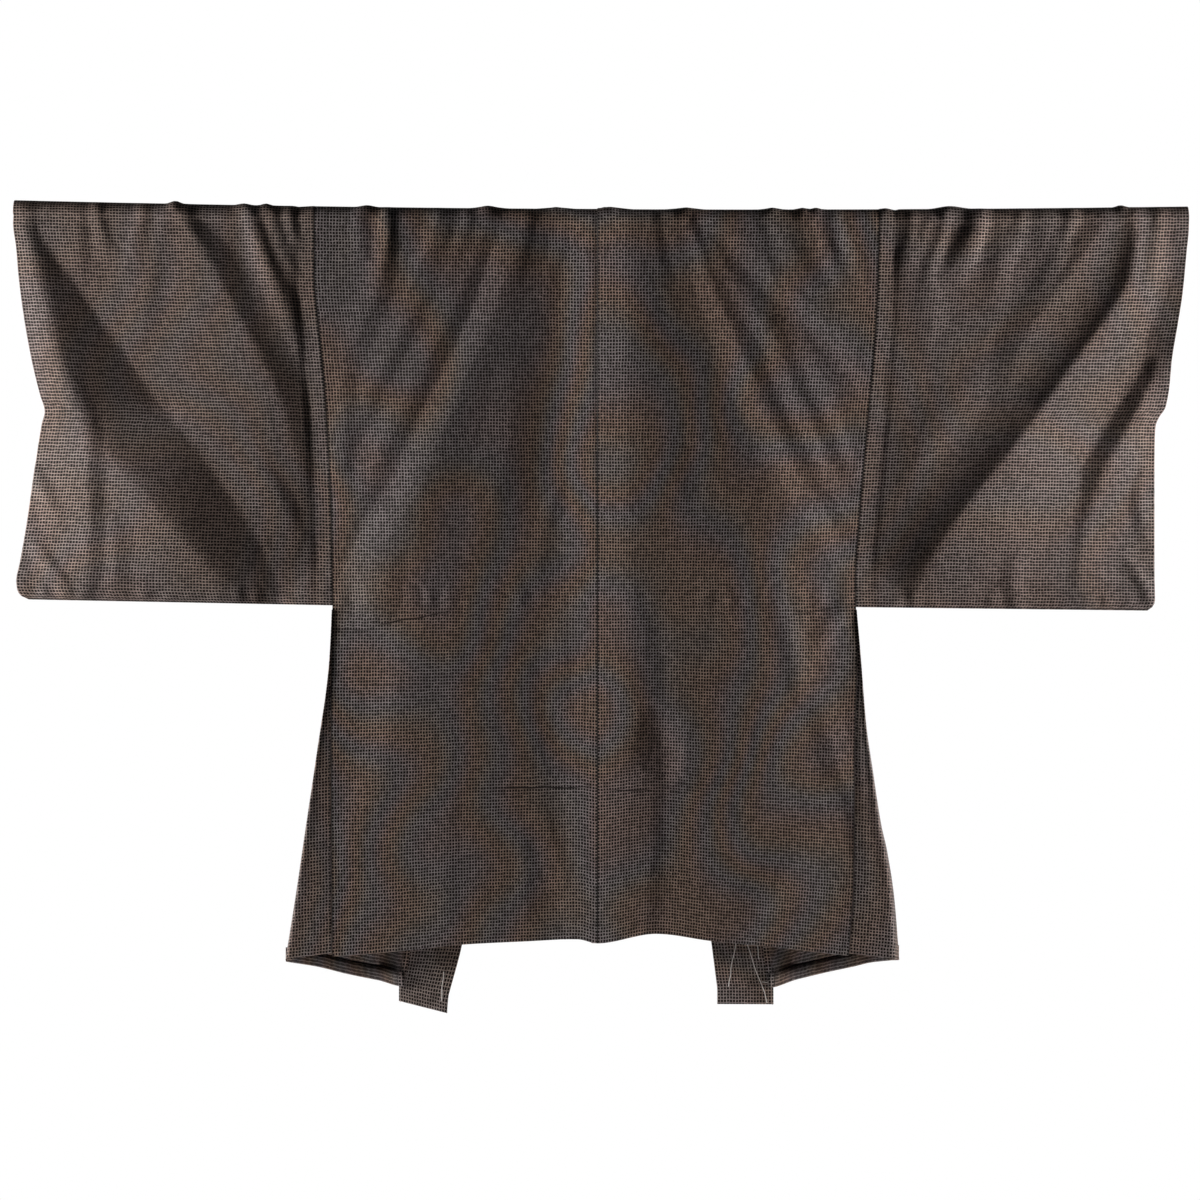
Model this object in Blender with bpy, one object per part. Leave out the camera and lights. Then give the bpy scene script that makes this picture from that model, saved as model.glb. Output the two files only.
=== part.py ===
"""Haori jacket hung on a straight rod: cloth walls worked out from the cut, metres, +Z up.

The rod's axis at its middle is the origin. The garment's back faces -Y, its front +Y,
and the wearer's right sleeve is at +X.
"""

import math

import bpy
import numpy as np

MM = 0.001

# ---- driving dimensions, millimetres ----
ROD_LENGTH = 1300.0
ROD_RADIUS = 12.5
ROD_TILT = -0.0054  # the rod's right end is a little lower than its left end
ROD_SAG = 0.0148 * MM  # lift of the ends over the middle, per square millimetre of length
WRAP_RADIUS = 14.6  # middle of the cloth's wall where it lies over the rod
CLOTH_WALL = 1.2
COLLAR_WALL = 2.0  # the strip is sewn double
SEAM_GAP = 0.8  # between the walls' rims along a flat seam, before folds tilt them
CORNER_GAP = 2.2  # the same where two panels meet at an angle
BACK_SEAM_X = -2.8
SLEEVE_BOTTOM_Z = -432.0
CUFF_OPENING_Z = -215.0  # below this the sleeve's outer edge is sewn shut
SLEEVE_EDGE_HALF = 1.8  # half the depth of a sewn-shut edge
SLEEVE_HALF = 13.0  # half the depth of a sleeve at its fullest
BODY_TAPER = 110.0  # the body narrows over this much beside its seams
SLEEVE_TAPER = 90.0  # a sleeve fills out over this much beyond the armhole
BOTTOM_TAPER = 60.0  # and narrows over this much above its bottom seam
ARMHOLE_OPEN = 70.0  # beside the armhole its bottom seam stays loose over this much
CUFF_TAPER = 60.0  # its depth runs out over this much towards the sewn-shut edge
CUFF_EASE = (25.0, 40.0)  # how far below the cuff's opening that edge opens, and over how much
NECK_STRAIGHT = 22.0  # half the length of the straight part of the back neckline
NECK_RADIUS = 70.0
NECK_GAP = 1.0  # the back's cloth ends this far before the rod's top
COLLAR_OFFSET = 1.0  # from the panel's edge to the strip's sewn edge
COLLAR_BEND = 24.0  # the part of its width that bends over the rod at the neck
COLLAR_WIDTH = 63.5
COLLAR_DROP = 19.0  # the collar's ends hang this far below the front hem
COLLAR_TILT = {"left": (9.0, 13.0), "right": (0.0, 0.0)}  # its free corner: sideways, down
TILT_RISE = 70.0  # how far above its end a collar starts to lean

WRAP_LENGTH = WRAP_RADIUS * math.pi / 2
NECK_END = WRAP_LENGTH - NECK_RADIUS  # height where the neck's curve becomes the front edge
FRONT_CORNER_Z = -862.0  # where the front edges end
BACK_HEM_SIDE_Z = -825.0
FRONT_HEM_SIDE_Z = -833.0
GUSSET_TOP_GAP = 4.0  # below the sleeve's bottom
GUSSET_HEM_Z = (-822.0, -831.0)  # at the back's and at the front's side seam
GUSSET_HOLLOW = 5.0  # how far its middle bends in at the hem
NECK_TURNS = range(0, 91, 10)  # degrees round each neck corner where a row of cloth lies

# ---- outlines: height z, then the x of each edge ----
EDGES = {
    "left": {
        "armhole": [(15, -321.3), (-62, -321.3), (-126, -315.7), (-201, -308.9),
                    (-330, -302.6), (-432, -301.0)],
        "cuff": [(15, -658.5), (-30, -655.5), (-111, -646.0), (-156, -637.5),
                 (-194, -628.0), (-213, -622.5), (-228, -627.0), (-276, -635.0),
                 (-338, -644.3), (-382, -652.2), (-405, -656.6), (-418, -653.0), (-430, -640.0)],
        "back_side": [(-432, -301.0), (-540, -302.5), (-825, -301.0)],
        "front_side": [(-432, -301.0), (-496, -304.4), (-601, -319.0), (-683, -331.4),
                       (-745, -340.4), (-833, -354.2)],
        "front_edge": [(-47, -92.0), (-862, -228.0)],
    },
    "right": {
        "armhole": [(15, 314.6), (-72, 312.3), (-126, 309.5), (-212, 302.2),
                    (-330, 292.1), (-405, 287.4), (-432, 288.0)],
        "cuff": [(15, 660.5), (-39, 658.3), (-81, 653.8), (-115, 648.2), (-158, 641.1),
                 (-188, 638.5), (-210, 634.5), (-224, 626.0), (-270, 624.0),
                 (-428, 624.5), (-436, 617.0)],
        "back_side": [(-432, 288.0), (-472, 289.6), (-595, 286.5), (-736, 284.9), (-824, 279.6)],
        "front_side": [(-432, 288.0), (-501, 294.3), (-567, 299.9), (-618, 307.3),
                       (-679, 316.8), (-709, 323.5), (-762, 331.4), (-833, 337.0)],
        "front_edge": [(-47, 92.0), (-864, 197.0)],
    },
}

# ---- hems: x, then the height z of the hem there ----
SLEEVE_HEM = [(-658, -424), (-300, -431), (288, -433), (624, -437)]
BACK_HEM = [(-301, -825), (-247, -821), (-205, -817), (-158, -812), (-81, -808), (-25, -805.5),
            (-3, -810), (63, -799.6), (125, -807.7), (194, -814.4), (262, -822.3), (280, -824.3)]
FRONT_HEM = {
    "left": [(-356, -832), (-322, -839), (-287, -849), (-258, -855.5), (-228, -861)],
    "right": [(197, -862.4), (229.5, -854.4), (258.4, -847), (307.5, -834.5), (340, -829.8)],
}

# ---- half the depth between back and front at the armholes and side seams ----
SIDE_DEPTH = [(15, 14.6), (-120, 13.5), (-300, 9.5), (-432, 6.5), (-600, 10.0), (-830, 15.0)]

# ---- how far each front stands out in its one deep soft fold ----
FRONT_BULGE = [(0, 0.0), (-140, 0.0), (-330, 5.0), (-520, 11.0), (-700, 18.0), (-860, 24.0)]
BULGE_PEAK = 0.2  # across the panel, from the front edge to the side seam

# ---- largest folds of the back: each row is x, z, height, width to its left, to its right ----
BACK_FOLDS = {
    "left_cuff_fold": [(-622, -45, 3, 34, 22), (-604, -145, 9, 44, 48), (-582, -218, 11, 50, 62),
                       (-505, -312, 8, 58, 70), (-444, -370, 4, 60, 62)],
    "left_cuff_edge": [(-580, -225, 5, 60, 14), (-572, -300, 9, 62, 16), (-570, -390, 6, 56, 16)],
    "left_underarm": [(-466, -10, 6, 110, 26), (-430, -60, 9, 120, 36), (-393, -145, 9, 130, 44),
                      (-365, -215, 7, 130, 36), (-338, -300, 3, 110, 24)],
    "left_back_fold": [(-100, -30, 3, 18, 26), (-140, -145, 8, 26, 44), (-205, -270, 10, 34, 52),
                       (-262, -350, 7, 26, 50), (-290, -400, 2, 16, 30)],
    "right_back_fold": [(112, -30, 3, 26, 18), (128, -125, 7, 40, 28), (186, -260, 10, 52, 34),
                        (245, -345, 8, 52, 26), (284, -400, 2, 30, 16)],
    "right_shoulder_fold": [(165, -20, 3, 30, 20), (225, -95, 7, 44, 34), (282, -165, 4, 40, 30)],
    "right_cuff_fold": [(575, -8, 5, 40, 24), (545, -130, 11, 62, 96), (470, -245, 12, 66, 110),
                        (395, -335, 9, 58, 120), (335, -400, 3, 40, 90)],
    "right_cuff_edge": [(640, -110, 3, 30, 20), (600, -215, 8, 34, 56), (560, -300, 9, 30, 60),
                        (540, -385, 5, 30, 56)],
}

# ---- shallower folds of the hidden fronts, with the same columns ----
FRONT_FOLDS = {
    "left_front_sleeve": [(-470, -20, 4, 60, 60), (-560, -200, 8, 60, 60), (-600, -360, 4, 50, 50)],
    "left_front_underarm": [(-240, -20, 4, 40, 50), (-280, -190, 7, 44, 50),
                            (-300, -330, 3, 40, 40)],
    "right_front_sleeve": [(480, -20, 4, 60, 60), (545, -190, 8, 60, 66), (585, -350, 4, 50, 50)],
    "right_front_underarm": [(235, -20, 4, 50, 40), (270, -180, 7, 50, 44),
                             (288, -320, 3, 40, 40)],
}

# ---- mesh steps ----
WRAP_STEPS = 8  # over the rod, from back to front
BODY_COLUMNS = 10
SLEEVE_COLUMNS = 11
UPPER_ROWS = 9  # from the rod to the sleeves' bottom
LOWER_ROWS = 8  # from there to the hem
GUSSET_COLUMNS = 3
GUSSET_ROWS = 9
COLLAR_ROWS = 12  # down each front
ROD_SIDES = 24
ROD_LENGTHS = 12
SHARP_ANGLE = 40.0  # degrees, between the rod's side and its ends
FOLD_SAMPLES = 24
FOLD_REACH = 1.15  # a fold's foot lies this many of its widths from its crest
FOLD_CREST = 12.0  # width over which its left side turns into its right
FREE_BELOW = 45.0  # the folds grow to full height over this much below the rod
LOOSE_DEPTH = 7.0  # a sleeve's front follows its back until they are this far apart

CLOTH_COLOUR = (0.062, 0.048, 0.043, 1.0)
COLLAR_COLOUR = (0.058, 0.045, 0.041, 1.0)
WOOD_COLOUR = (0.50, 0.34, 0.19, 1.0)


def read(table, at):
    """The second column of a table at `at` in its first, along straight lines."""
    rows = sorted(table)
    return np.interp(at, [row[0] for row in rows], [row[1] for row in rows])


def ease(value):
    value = np.clip(value, 0.0, 1.0)
    return value * value * (3.0 - 2.0 * value)


def rod_height(x):
    return ROD_TILT * x + ROD_SAG * x * x


def fold_line(rows):
    """The fold's rows, resampled evenly so that its widths and height change smoothly."""
    rows = np.array(rows, float)
    along = np.linspace(0, len(rows) - 1, FOLD_SAMPLES)
    return np.stack([np.interp(along, range(len(rows)), column) for column in rows.T], axis=1)


def fold_height(x, z, folds):
    """Height of a group of folds above the plain cloth: a soft ridge on each line."""
    total = np.zeros_like(x)
    for rows in folds.values():
        line = fold_line(rows)
        start, step = line[:-1, :2], np.diff(line[:, :2], axis=0)
        offset = np.stack([x, z], axis=-1)[..., None, :] - start
        share = np.clip((offset * step).sum(-1) / (step * step).sum(-1), 0.0, 1.0)
        gap = offset - share[..., None] * step
        distance = np.hypot(gap[..., 0], gap[..., 1])
        nearest = distance.argmin(-1)[..., None]
        share = np.take_along_axis(share, nearest, -1)[..., 0]
        distance = np.take_along_axis(distance, nearest, -1)[..., 0]
        sideways = np.take_along_axis(gap[..., 0], nearest, -1)[..., 0]
        first = line[nearest[..., 0]]
        size = first + share[..., None] * (line[nearest[..., 0] + 1] - first)
        to_right = ease(0.5 + sideways / FOLD_CREST)
        width = size[..., 3] * (1 - to_right) + size[..., 4] * to_right
        total += size[..., 2] * ease(FOLD_REACH - distance / width)
    return total


def half_depth(x, z):
    """Half the distance between the two layers: least at the armholes and sewn edges."""
    depth = np.empty_like(x)
    for name, chosen in (("left", x < BACK_SEAM_X), ("right", x >= BACK_SEAM_X)):
        edges = EDGES[name]
        level = z[chosen]
        arm = np.abs(read(edges["armhole"], level))
        out = np.abs(read(edges["cuff"], level))
        at = np.abs(x[chosen])
        side = read(SIDE_DEPTH, level)
        inside = side + (WRAP_RADIUS - side) * ease((arm - at) / BODY_TAPER)
        full = side + (SLEEVE_HALF - side) * ease((at - arm) / SLEEVE_TAPER)
        bottom = ease((level - read(SLEEVE_HEM, x[chosen])) / BOTTOM_TAPER)
        bottom = np.maximum(bottom, ease(1.0 - (at - arm) / ARMHOLE_OPEN))
        above = level - CUFF_OPENING_Z + CUFF_EASE[0]
        edge = np.maximum(ease((out - at) / CUFF_TAPER), ease(above / CUFF_EASE[1]))
        sleeve = SLEEVE_EDGE_HALF + (full - SLEEVE_EDGE_HALF) * bottom * edge
        depth[chosen] = np.where(at > arm, sleeve, inside)
    return depth


def below_rod(x, z):
    """0 at the rod, growing to 1 where the cloth hangs free."""
    return ease((rod_height(x) - z) / FREE_BELOW)


def back_face(x, z):
    return -half_depth(x, z) - fold_height(x, z, BACK_FOLDS) * below_rod(x, z)


def front_face(x, z):
    """The sleeves' front follows the back where the two are sewn together."""
    depth = half_depth(x, z)
    loose = ease((depth - SLEEVE_EDGE_HALF) / LOOSE_DEPTH)
    back = -fold_height(x, z, BACK_FOLDS)
    front = fold_height(x, z, FRONT_FOLDS)
    return depth + (front * loose + back * (1.0 - loose)) * below_rod(x, z)


def wrap_points(x, turn):
    """Points on the rod's wrap: turn 0 is the back's tangent, 1 the front's."""
    angle = math.pi * turn
    y = np.full_like(x, -WRAP_RADIUS * math.cos(angle))
    z = rod_height(x) + WRAP_RADIUS * np.sin(angle)
    return np.stack([x, y, z], axis=-1)


def object_from_grid(name, points, colour, wall, faces=None, roughness=0.5):
    """A walled cloth piece from a grid of points in millimetres."""
    rows, columns = points.shape[:2]
    if faces is None:
        faces = grid_faces(rows, columns)
    mesh = bpy.data.meshes.new(name)
    mesh.from_pydata((points.reshape(-1, 3) * MM).tolist(), [], faces)
    mesh.validate()
    mesh.shade_smooth()
    piece = bpy.data.objects.new(name, mesh)
    bpy.context.scene.collection.objects.link(piece)
    mesh.materials.append(material(name, colour, roughness))
    solid = piece.modifiers.new("wall", "SOLIDIFY")
    solid.thickness = wall * MM
    solid.offset = 0.0
    solid.use_even_offset = False
    return piece


def grid_faces(rows, columns, ring=False):
    faces = []
    for row in range(rows if ring else rows - 1):
        above = (row + 1) % rows
        for column in range(columns - 1):
            faces.append((row * columns + column, row * columns + column + 1,
                          above * columns + column + 1, above * columns + column))
    return faces


def material(name, colour, roughness):
    made = bpy.data.materials.new(name)
    made.use_nodes = True
    shader = made.node_tree.nodes["Principled BSDF"]
    shader.inputs["Base Color"].default_value = colour
    shader.inputs["Roughness"].default_value = roughness
    shader.inputs["Metallic"].default_value = 0.0
    return made


def hanging_level(x, upper, lower, hem):
    """Height of a row: `upper` runs 0 to 1 down to the sleeves' bottom, then `lower` to the hem."""
    top = rod_height(x) * (1 - upper) + upper * read(SLEEVE_HEM, x)
    return top * (1 - lower) + lower * hem


def row_shares():
    """Each hanging row's share of the upper and of the lower fall, from the rod down."""
    upper = [(share, 0.0) for share in np.linspace(0.0, 1.0, UPPER_ROWS + 1)[1:]]
    return upper + [(1.0, share) for share in np.linspace(0.0, 1.0, LOWER_ROWS + 1)[1:]]


def neck_edge(distance, name):
    """x of the neckline and front edge, at a distance along the cloth from the rod's top."""
    edge = read(EDGES[name]["front_edge"], -np.maximum(distance - WRAP_LENGTH, 0.0))
    sign = -1.0 if name == "left" else 1.0
    across = np.sqrt(max(NECK_RADIUS**2 - max(NECK_RADIUS - distance, 0.0) ** 2, 0.0))
    curve = NECK_STRAIGHT + across
    return sign * min(curve, abs(edge)) if distance < NECK_RADIUS else edge


def body(name):
    """One length of cloth: up the back, over the rod, round the neck and down the front."""
    edges = EDGES[name]
    sign = -1.0 if name == "left" else 1.0
    across = np.linspace(0.0, 1.0, BODY_COLUMNS + 1)
    inner_back = BACK_SEAM_X + sign * SEAM_GAP / 2
    rows = []
    for upper, lower in reversed(row_shares()):
        level = SLEEVE_BOTTOM_Z * upper + (BACK_HEM_SIDE_Z - SLEEVE_BOTTOM_Z) * lower
        side = edges["armhole"] if lower == 0.0 else edges["back_side"]
        outer = read(side, level) - sign * SEAM_GAP / 2
        x = inner_back + (outer - inner_back) * across
        z = hanging_level(x, upper, lower, read(BACK_HEM, x))
        rows.append(np.stack([x, back_face(x, z), z], axis=-1))
    outer = read(edges["armhole"], 0.0) - sign * SEAM_GAP / 2
    for distance in np.linspace(-WRAP_LENGTH, -NECK_GAP, WRAP_STEPS // 2 + 1):
        rows.append(wrap_points(inner_back + (outer - inner_back) * across,
                                0.5 + distance / WRAP_LENGTH / 2))
    neck_rows = [NECK_RADIUS * (1 - math.cos(math.radians(turn))) for turn in NECK_TURNS]
    for distance in [down for down in neck_rows if down < WRAP_LENGTH]:
        inner = neck_edge(distance, name)
        rows.append(wrap_points(inner + (outer - inner) * across,
                                0.5 + distance / WRAP_LENGTH / 2))
    first = row_shares()[0][0]
    neck_shares = [((WRAP_LENGTH - down) / SLEEVE_BOTTOM_Z, 0.0) for down in neck_rows]
    neck_shares = [pair for pair in neck_shares if 0.0 < pair[0] < 0.9 * first]
    for upper, lower in neck_shares + [(NECK_END / SLEEVE_BOTTOM_Z, 0.0)] + row_shares()[1:]:
        level = SLEEVE_BOTTOM_Z * upper + (FRONT_HEM_SIDE_Z - SLEEVE_BOTTOM_Z) * lower
        side = edges["armhole"] if lower == 0.0 else edges["front_side"]
        outer = read(side, level) - sign * SEAM_GAP / 2
        corner = read(edges["front_edge"], FRONT_CORNER_Z)
        inner_level = hanging_level(corner, upper, lower, read(FRONT_HEM[name], corner))
        if upper < first:
            inner_level = level
        inner = neck_edge(WRAP_LENGTH - inner_level, name)
        x = inner + (outer - inner) * across
        z = hanging_level(x, upper, lower, read(FRONT_HEM[name], x))
        rise = across / BULGE_PEAK
        drop = (1.0 - across) / (1.0 - BULGE_PEAK)
        bulge = read(FRONT_BULGE, level) * ease(np.minimum(rise, drop))
        rows.append(np.stack([x, front_face(x, z) + bulge, z], axis=-1))
    points = np.array(rows)
    if name == "left":
        points = points[:, ::-1]
    return object_from_grid("body_" + name, points, CLOTH_COLOUR, CLOTH_WALL)


def sleeve(name):
    """One length folded over the rod, a ring in section, sewn shut along its lower outer edge."""
    edges = EDGES[name]
    sign = -1.0 if name == "left" else 1.0
    across = np.linspace(0.0, 1.0, SLEEVE_COLUMNS + 1)

    def hanging(fall, face):
        level = fall * SLEEVE_BOTTOM_Z
        inner = read(edges["armhole"], level) + sign * SEAM_GAP / 2
        x = inner + (read(edges["cuff"], level) - inner) * across
        z = hanging_level(x, fall, 0.0, 0.0)
        return np.stack([x, face(x, z), z], axis=-1)

    falls = [upper for upper, lower in reversed(row_shares()) if lower == 0.0]
    rows = [hanging(fall, back_face) for fall in falls]
    inner = read(edges["armhole"], 0.0) + sign * SEAM_GAP / 2
    outer = read(edges["cuff"], 0.0)
    for turn in np.linspace(0.0, 1.0, WRAP_STEPS + 1):
        rows.append(wrap_points(inner + (outer - inner) * across, turn))
    rows += [hanging(fall, front_face) for fall in falls[::-1]]
    points = np.array(rows)
    count, columns = points.shape[:2]
    faces = grid_faces(count, columns, ring=True)
    last = columns - 1
    for row, fall in enumerate(falls[:-1]):
        if falls[row + 1] * SLEEVE_BOTTOM_Z > CUFF_OPENING_Z:
            break
        faces.append((row * columns + last, (count - 1 - row) * columns + last,
                      (count - 2 - row) * columns + last, (row + 1) * columns + last))
    if name == "left":
        faces = [face[::-1] for face in faces]
    return object_from_grid("sleeve_" + name, points, CLOTH_COLOUR, CLOTH_WALL, faces)


def gusset(name):
    """A long taper between the back's and the front's side seams, hollow towards the body."""
    edges = EDGES[name]
    top = SLEEVE_BOTTOM_Z - GUSSET_TOP_GAP
    hem_back, hem_front = GUSSET_HEM_Z
    across = np.linspace(0.0, 1.0, GUSSET_COLUMNS + 1)
    rows = []
    for fall in np.linspace(0.0, 1.0, GUSSET_ROWS + 1):
        level = np.array([top + (hem_back - top) * fall, top + (hem_front - top) * fall])
        x = np.array([read(edges["back_side"], level[0]), read(edges["front_side"], level[1])])
        y = np.array([back_face(x[:1], level[:1])[0], front_face(x[1:], level[1:])[0]])
        start = np.array([x[0], y[0], level[0]])
        end = np.array([x[1], y[1], level[1]])
        reach = end - start
        length = np.linalg.norm(reach)
        share = (CORNER_GAP + (length - 2 * CORNER_GAP) * across) / length
        points = start + share[:, None] * reach
        points[:, 1] += GUSSET_HOLLOW * fall * np.sin(math.pi * across)
        rows.append(points)
    points = np.array(rows)
    if name == "left":
        points = points[:, ::-1]
    return object_from_grid("gusset_" + name, points, CLOTH_COLOUR, CLOTH_WALL)


def collar_route():
    """Stations along the sewn edge: x, distance down from the rod's top, and the inward turn."""
    bottom = {name: read(FRONT_HEM[name], read(EDGES[name]["front_edge"], FRONT_CORNER_Z))
              for name in EDGES}
    stations = []
    for name, sign in (("left", -1.0), ("right", 1.0)):
        leg = []
        for share in np.linspace(1.0, 0.0, COLLAR_ROWS + 1):
            down = NECK_RADIUS + share * (-bottom[name] + COLLAR_DROP + WRAP_LENGTH - NECK_RADIUS)
            x = read(EDGES[name]["front_edge"], -max(down - WRAP_LENGTH, 0.0))
            leg.append((x, down, 90.0))
        for turn in reversed(NECK_TURNS[:-1]):
            x = sign * (NECK_STRAIGHT + NECK_RADIUS * math.sin(math.radians(turn)))
            leg.append((x, NECK_RADIUS * (1.0 - math.cos(math.radians(turn))), turn))
        stations.append((sign, leg))
    left = [(x, down, turn, -1.0) for x, down, turn in stations[0][1]]
    right = [(x, down, turn, 1.0) for x, down, turn in stations[1][1]]
    return left + right[::-1]


def collar():
    """One doubled strip, sewn along its outer edge, its free edge inside the neck opening."""
    bend = np.linspace(0.0, COLLAR_BEND, WRAP_STEPS // 2 + 1)
    widths = np.concatenate([bend, np.linspace(COLLAR_BEND, COLLAR_WIDTH, 3)[1:]]) + COLLAR_OFFSET
    end = FRONT_HEM["left"][-1][1] - COLLAR_DROP
    rows = []
    for x, down, turn, sign in collar_route():
        angle = math.radians(turn)
        across = x - sign * widths * math.sin(angle)
        deep = down + widths * math.cos(angle)
        level = rod_height(across) - np.maximum(deep - WRAP_LENGTH, 0.0)
        wrapped = np.clip(deep / WRAP_LENGTH, 0.0, 1.0) * math.pi / 2
        y_wrap = WRAP_RADIUS * np.sin(wrapped)
        z_wrap = rod_height(across) + WRAP_RADIUS * np.cos(wrapped)
        free = front_face(across, level)
        on_rod = deep < WRAP_LENGTH
        slide, drop = COLLAR_TILT["left" if sign < 0 else "right"]
        tilt = ease((end + TILT_RISE - level) / TILT_RISE) * widths / COLLAR_WIDTH
        rows.append(np.stack([across + sign * slide * tilt, np.where(on_rod, y_wrap, free),
                              np.where(on_rod, z_wrap, level - drop * tilt)], axis=-1))
    return object_from_grid("collar", np.array(rows), COLLAR_COLOUR, COLLAR_WALL)


def rod():
    """A plain dowel whose length follows the slight sag."""
    sides, lengths = ROD_SIDES, ROD_LENGTHS
    angles = np.linspace(0.0, 2 * math.pi, sides, endpoint=False)
    points = []
    for x in np.linspace(-ROD_LENGTH / 2, ROD_LENGTH / 2, lengths + 1):
        for angle in angles:
            points.append((x * MM, ROD_RADIUS * math.cos(angle) * MM,
                           (rod_height(x) + ROD_RADIUS * math.sin(angle)) * MM))
    faces = [tuple(reversed(range(sides))), tuple(lengths * sides + k for k in range(sides))]
    for row in range(lengths):
        for k in range(sides):
            after = (k + 1) % sides
            faces.append((row * sides + k, row * sides + after,
                          (row + 1) * sides + after, (row + 1) * sides + k))
    mesh = bpy.data.meshes.new("rod")
    mesh.from_pydata(points, [], faces)
    mesh.shade_smooth()
    mesh.set_sharp_from_angle(angle=math.radians(SHARP_ANGLE))
    piece = bpy.data.objects.new("rod", mesh)
    bpy.context.scene.collection.objects.link(piece)
    mesh.materials.append(material("rod", WOOD_COLOUR, 0.45))
    return piece


def build():
    for old in list(bpy.data.objects):
        bpy.data.objects.remove(old, do_unlink=True)
    rod()
    for name in EDGES:
        body(name)
        sleeve(name)
        gusset(name)
    collar()


build()
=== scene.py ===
"""Haori jacket hung on a straight rod: cloth shells, seams, threads, finishes and studio."""

import math

import bpy
import numpy as np
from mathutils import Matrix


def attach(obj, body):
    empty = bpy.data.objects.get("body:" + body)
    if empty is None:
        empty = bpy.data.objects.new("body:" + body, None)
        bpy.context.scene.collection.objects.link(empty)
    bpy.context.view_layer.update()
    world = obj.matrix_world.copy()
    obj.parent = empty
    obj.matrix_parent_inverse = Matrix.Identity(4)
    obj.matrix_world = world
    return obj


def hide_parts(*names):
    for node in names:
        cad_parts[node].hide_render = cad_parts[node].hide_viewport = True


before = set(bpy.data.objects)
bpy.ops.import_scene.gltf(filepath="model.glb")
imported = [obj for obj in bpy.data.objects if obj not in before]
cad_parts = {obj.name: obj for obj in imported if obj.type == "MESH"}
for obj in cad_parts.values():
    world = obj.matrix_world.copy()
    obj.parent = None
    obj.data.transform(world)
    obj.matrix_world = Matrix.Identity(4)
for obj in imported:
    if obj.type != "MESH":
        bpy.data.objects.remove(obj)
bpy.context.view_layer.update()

MM = 0.001
BODY = "root"

# ---- sizes of the garment and rod, millimetres ----
ROD_LENGTH = 1300.0
ROD_RADIUS = 12.5
ROD_TILT = -0.0054
ROD_SAG = 0.0148 * MM
WRAP_RADIUS = 14.6
WRAP_LENGTH = WRAP_RADIUS * math.pi / 2
CLOTH = 0.8
COLLAR_CLOTH = 1.6
SEAM_GAP = 0.3
CORNER_GAP = 0.6
BACK_SEAM_X = -2.8
SLEEVE_BOTTOM_Z = -432.0
BACK_HEM_SIDE_Z = -825.0
FRONT_HEM_SIDE_Z = -833.0
FRONT_CORNER_Z = -862.0  # where the front edges end
CUFF_OPENING_Z = -215.0
CUFF_X = 640.0  # where the rod's height is read for a sleeve's outer edge
SLEEVE_EDGE_HALF = 1.6  # half the depth of a sewn-shut edge
SLEEVE_HALF = 13.0  # half the depth of a sleeve at its fullest
BODY_TAPER = 110.0  # the body narrows over this much beside its seams
SLEEVE_TAPER = 90.0  # a sleeve fills out over this much beyond the armhole
BOTTOM_TAPER = 60.0  # and narrows over this much above its bottom seam
ARMHOLE_OPEN = 70.0  # beside the armhole its bottom seam stays loose over this much
CUFF_TAPER = 190.0  # its depth runs out over this much towards the sewn-shut edge
CUFF_EASE = (25.0, 40.0)  # how far below the cuff's opening that edge opens, and over how much
LOOSE_DEPTH = 7.0  # a sleeve's front follows its back until they are this far apart
FREE_BELOW = 30.0  # the front's folds grow to full height over this much below the rod
FRONT_SEAM_SHARE = 0.6  # height of the front's seam relief, of the back's
WRAP_FADE = 1.5  # how fast the back's folds fade over the rod
TUCK = ((7.0, 3.4), (4.0, 3.2), (1.6, 2.6))  # how far past the seam, and how far behind
LIP = 0.4
HEM_TURN = ((16.0, 1.7), (9.0, 1.7), (3.0, 1.6), (0.8, 1.1))  # how far up, and how far inside
GUSSET_SWELL = {"left": [(0.0, 0.0), (0.4, 0.5), (1.0, 0.4)],
                "right": [(0.0, 0.4), (0.2, 1.4), (0.5, 1.4), (0.75, 0.6), (1.0, 0.5)]}
GUSSET_SWELL_END = 0.45  # share of its width over which it swells
GUSSET_FULL = 40.0  # it swells fully from this width on
GUSSET_TOP_GAP = 4.0  # below the sleeve's bottom
GUSSET_HEM_Z = (-822.0, -831.0)  # at the back's and at the front's side seam
GUSSET_ROUND = 1.3  # how it rounds off towards the front's seam
GUSSET_TURN = 0.6  # share of a gusset's width that lies nearly flat
GUSSET_FLAT = {"left": (0.94, -0.125), "right": (0.88, -0.095)}  # its share of the reach and depth
NECK_STRAIGHT = 22.0
NECK_RADIUS = 70.0
NECK_END = WRAP_LENGTH - NECK_RADIUS
NECK_GAP = 0.8  # the back's cloth ends this far before the rod's top
COLLAR_OFFSET = 1.0  # from the panel's edge to the strip's sewn edge
COLLAR_WIDTH = 64.0
COLLAR_OVER = 0.5  # the strip's free edge lies this far beyond its width
COLLAR_DROP = 19.0  # its ends hang this far below the front hem
COLLAR_WAVES = ((1.6, 71.0, 60.0), (0.9, 23.0, -35.0))  # height, and reach down and across
COLLAR_CALM = 160.0  # the waves grow to full height over this much below the rod
COLLAR_TILT = {"left": (9.0, 13.0), "right": (0.0, 0.0)}  # its free corner: sideways, down
TILT_RISE = 70.0  # how far above its end a collar starts to lean
CUT_WIDTH = 316.0  # body cloth from the back seam to the armhole seam
SLEEVE_CUT = 340.0  # sleeve cloth from the armhole seam to the cuff

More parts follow.
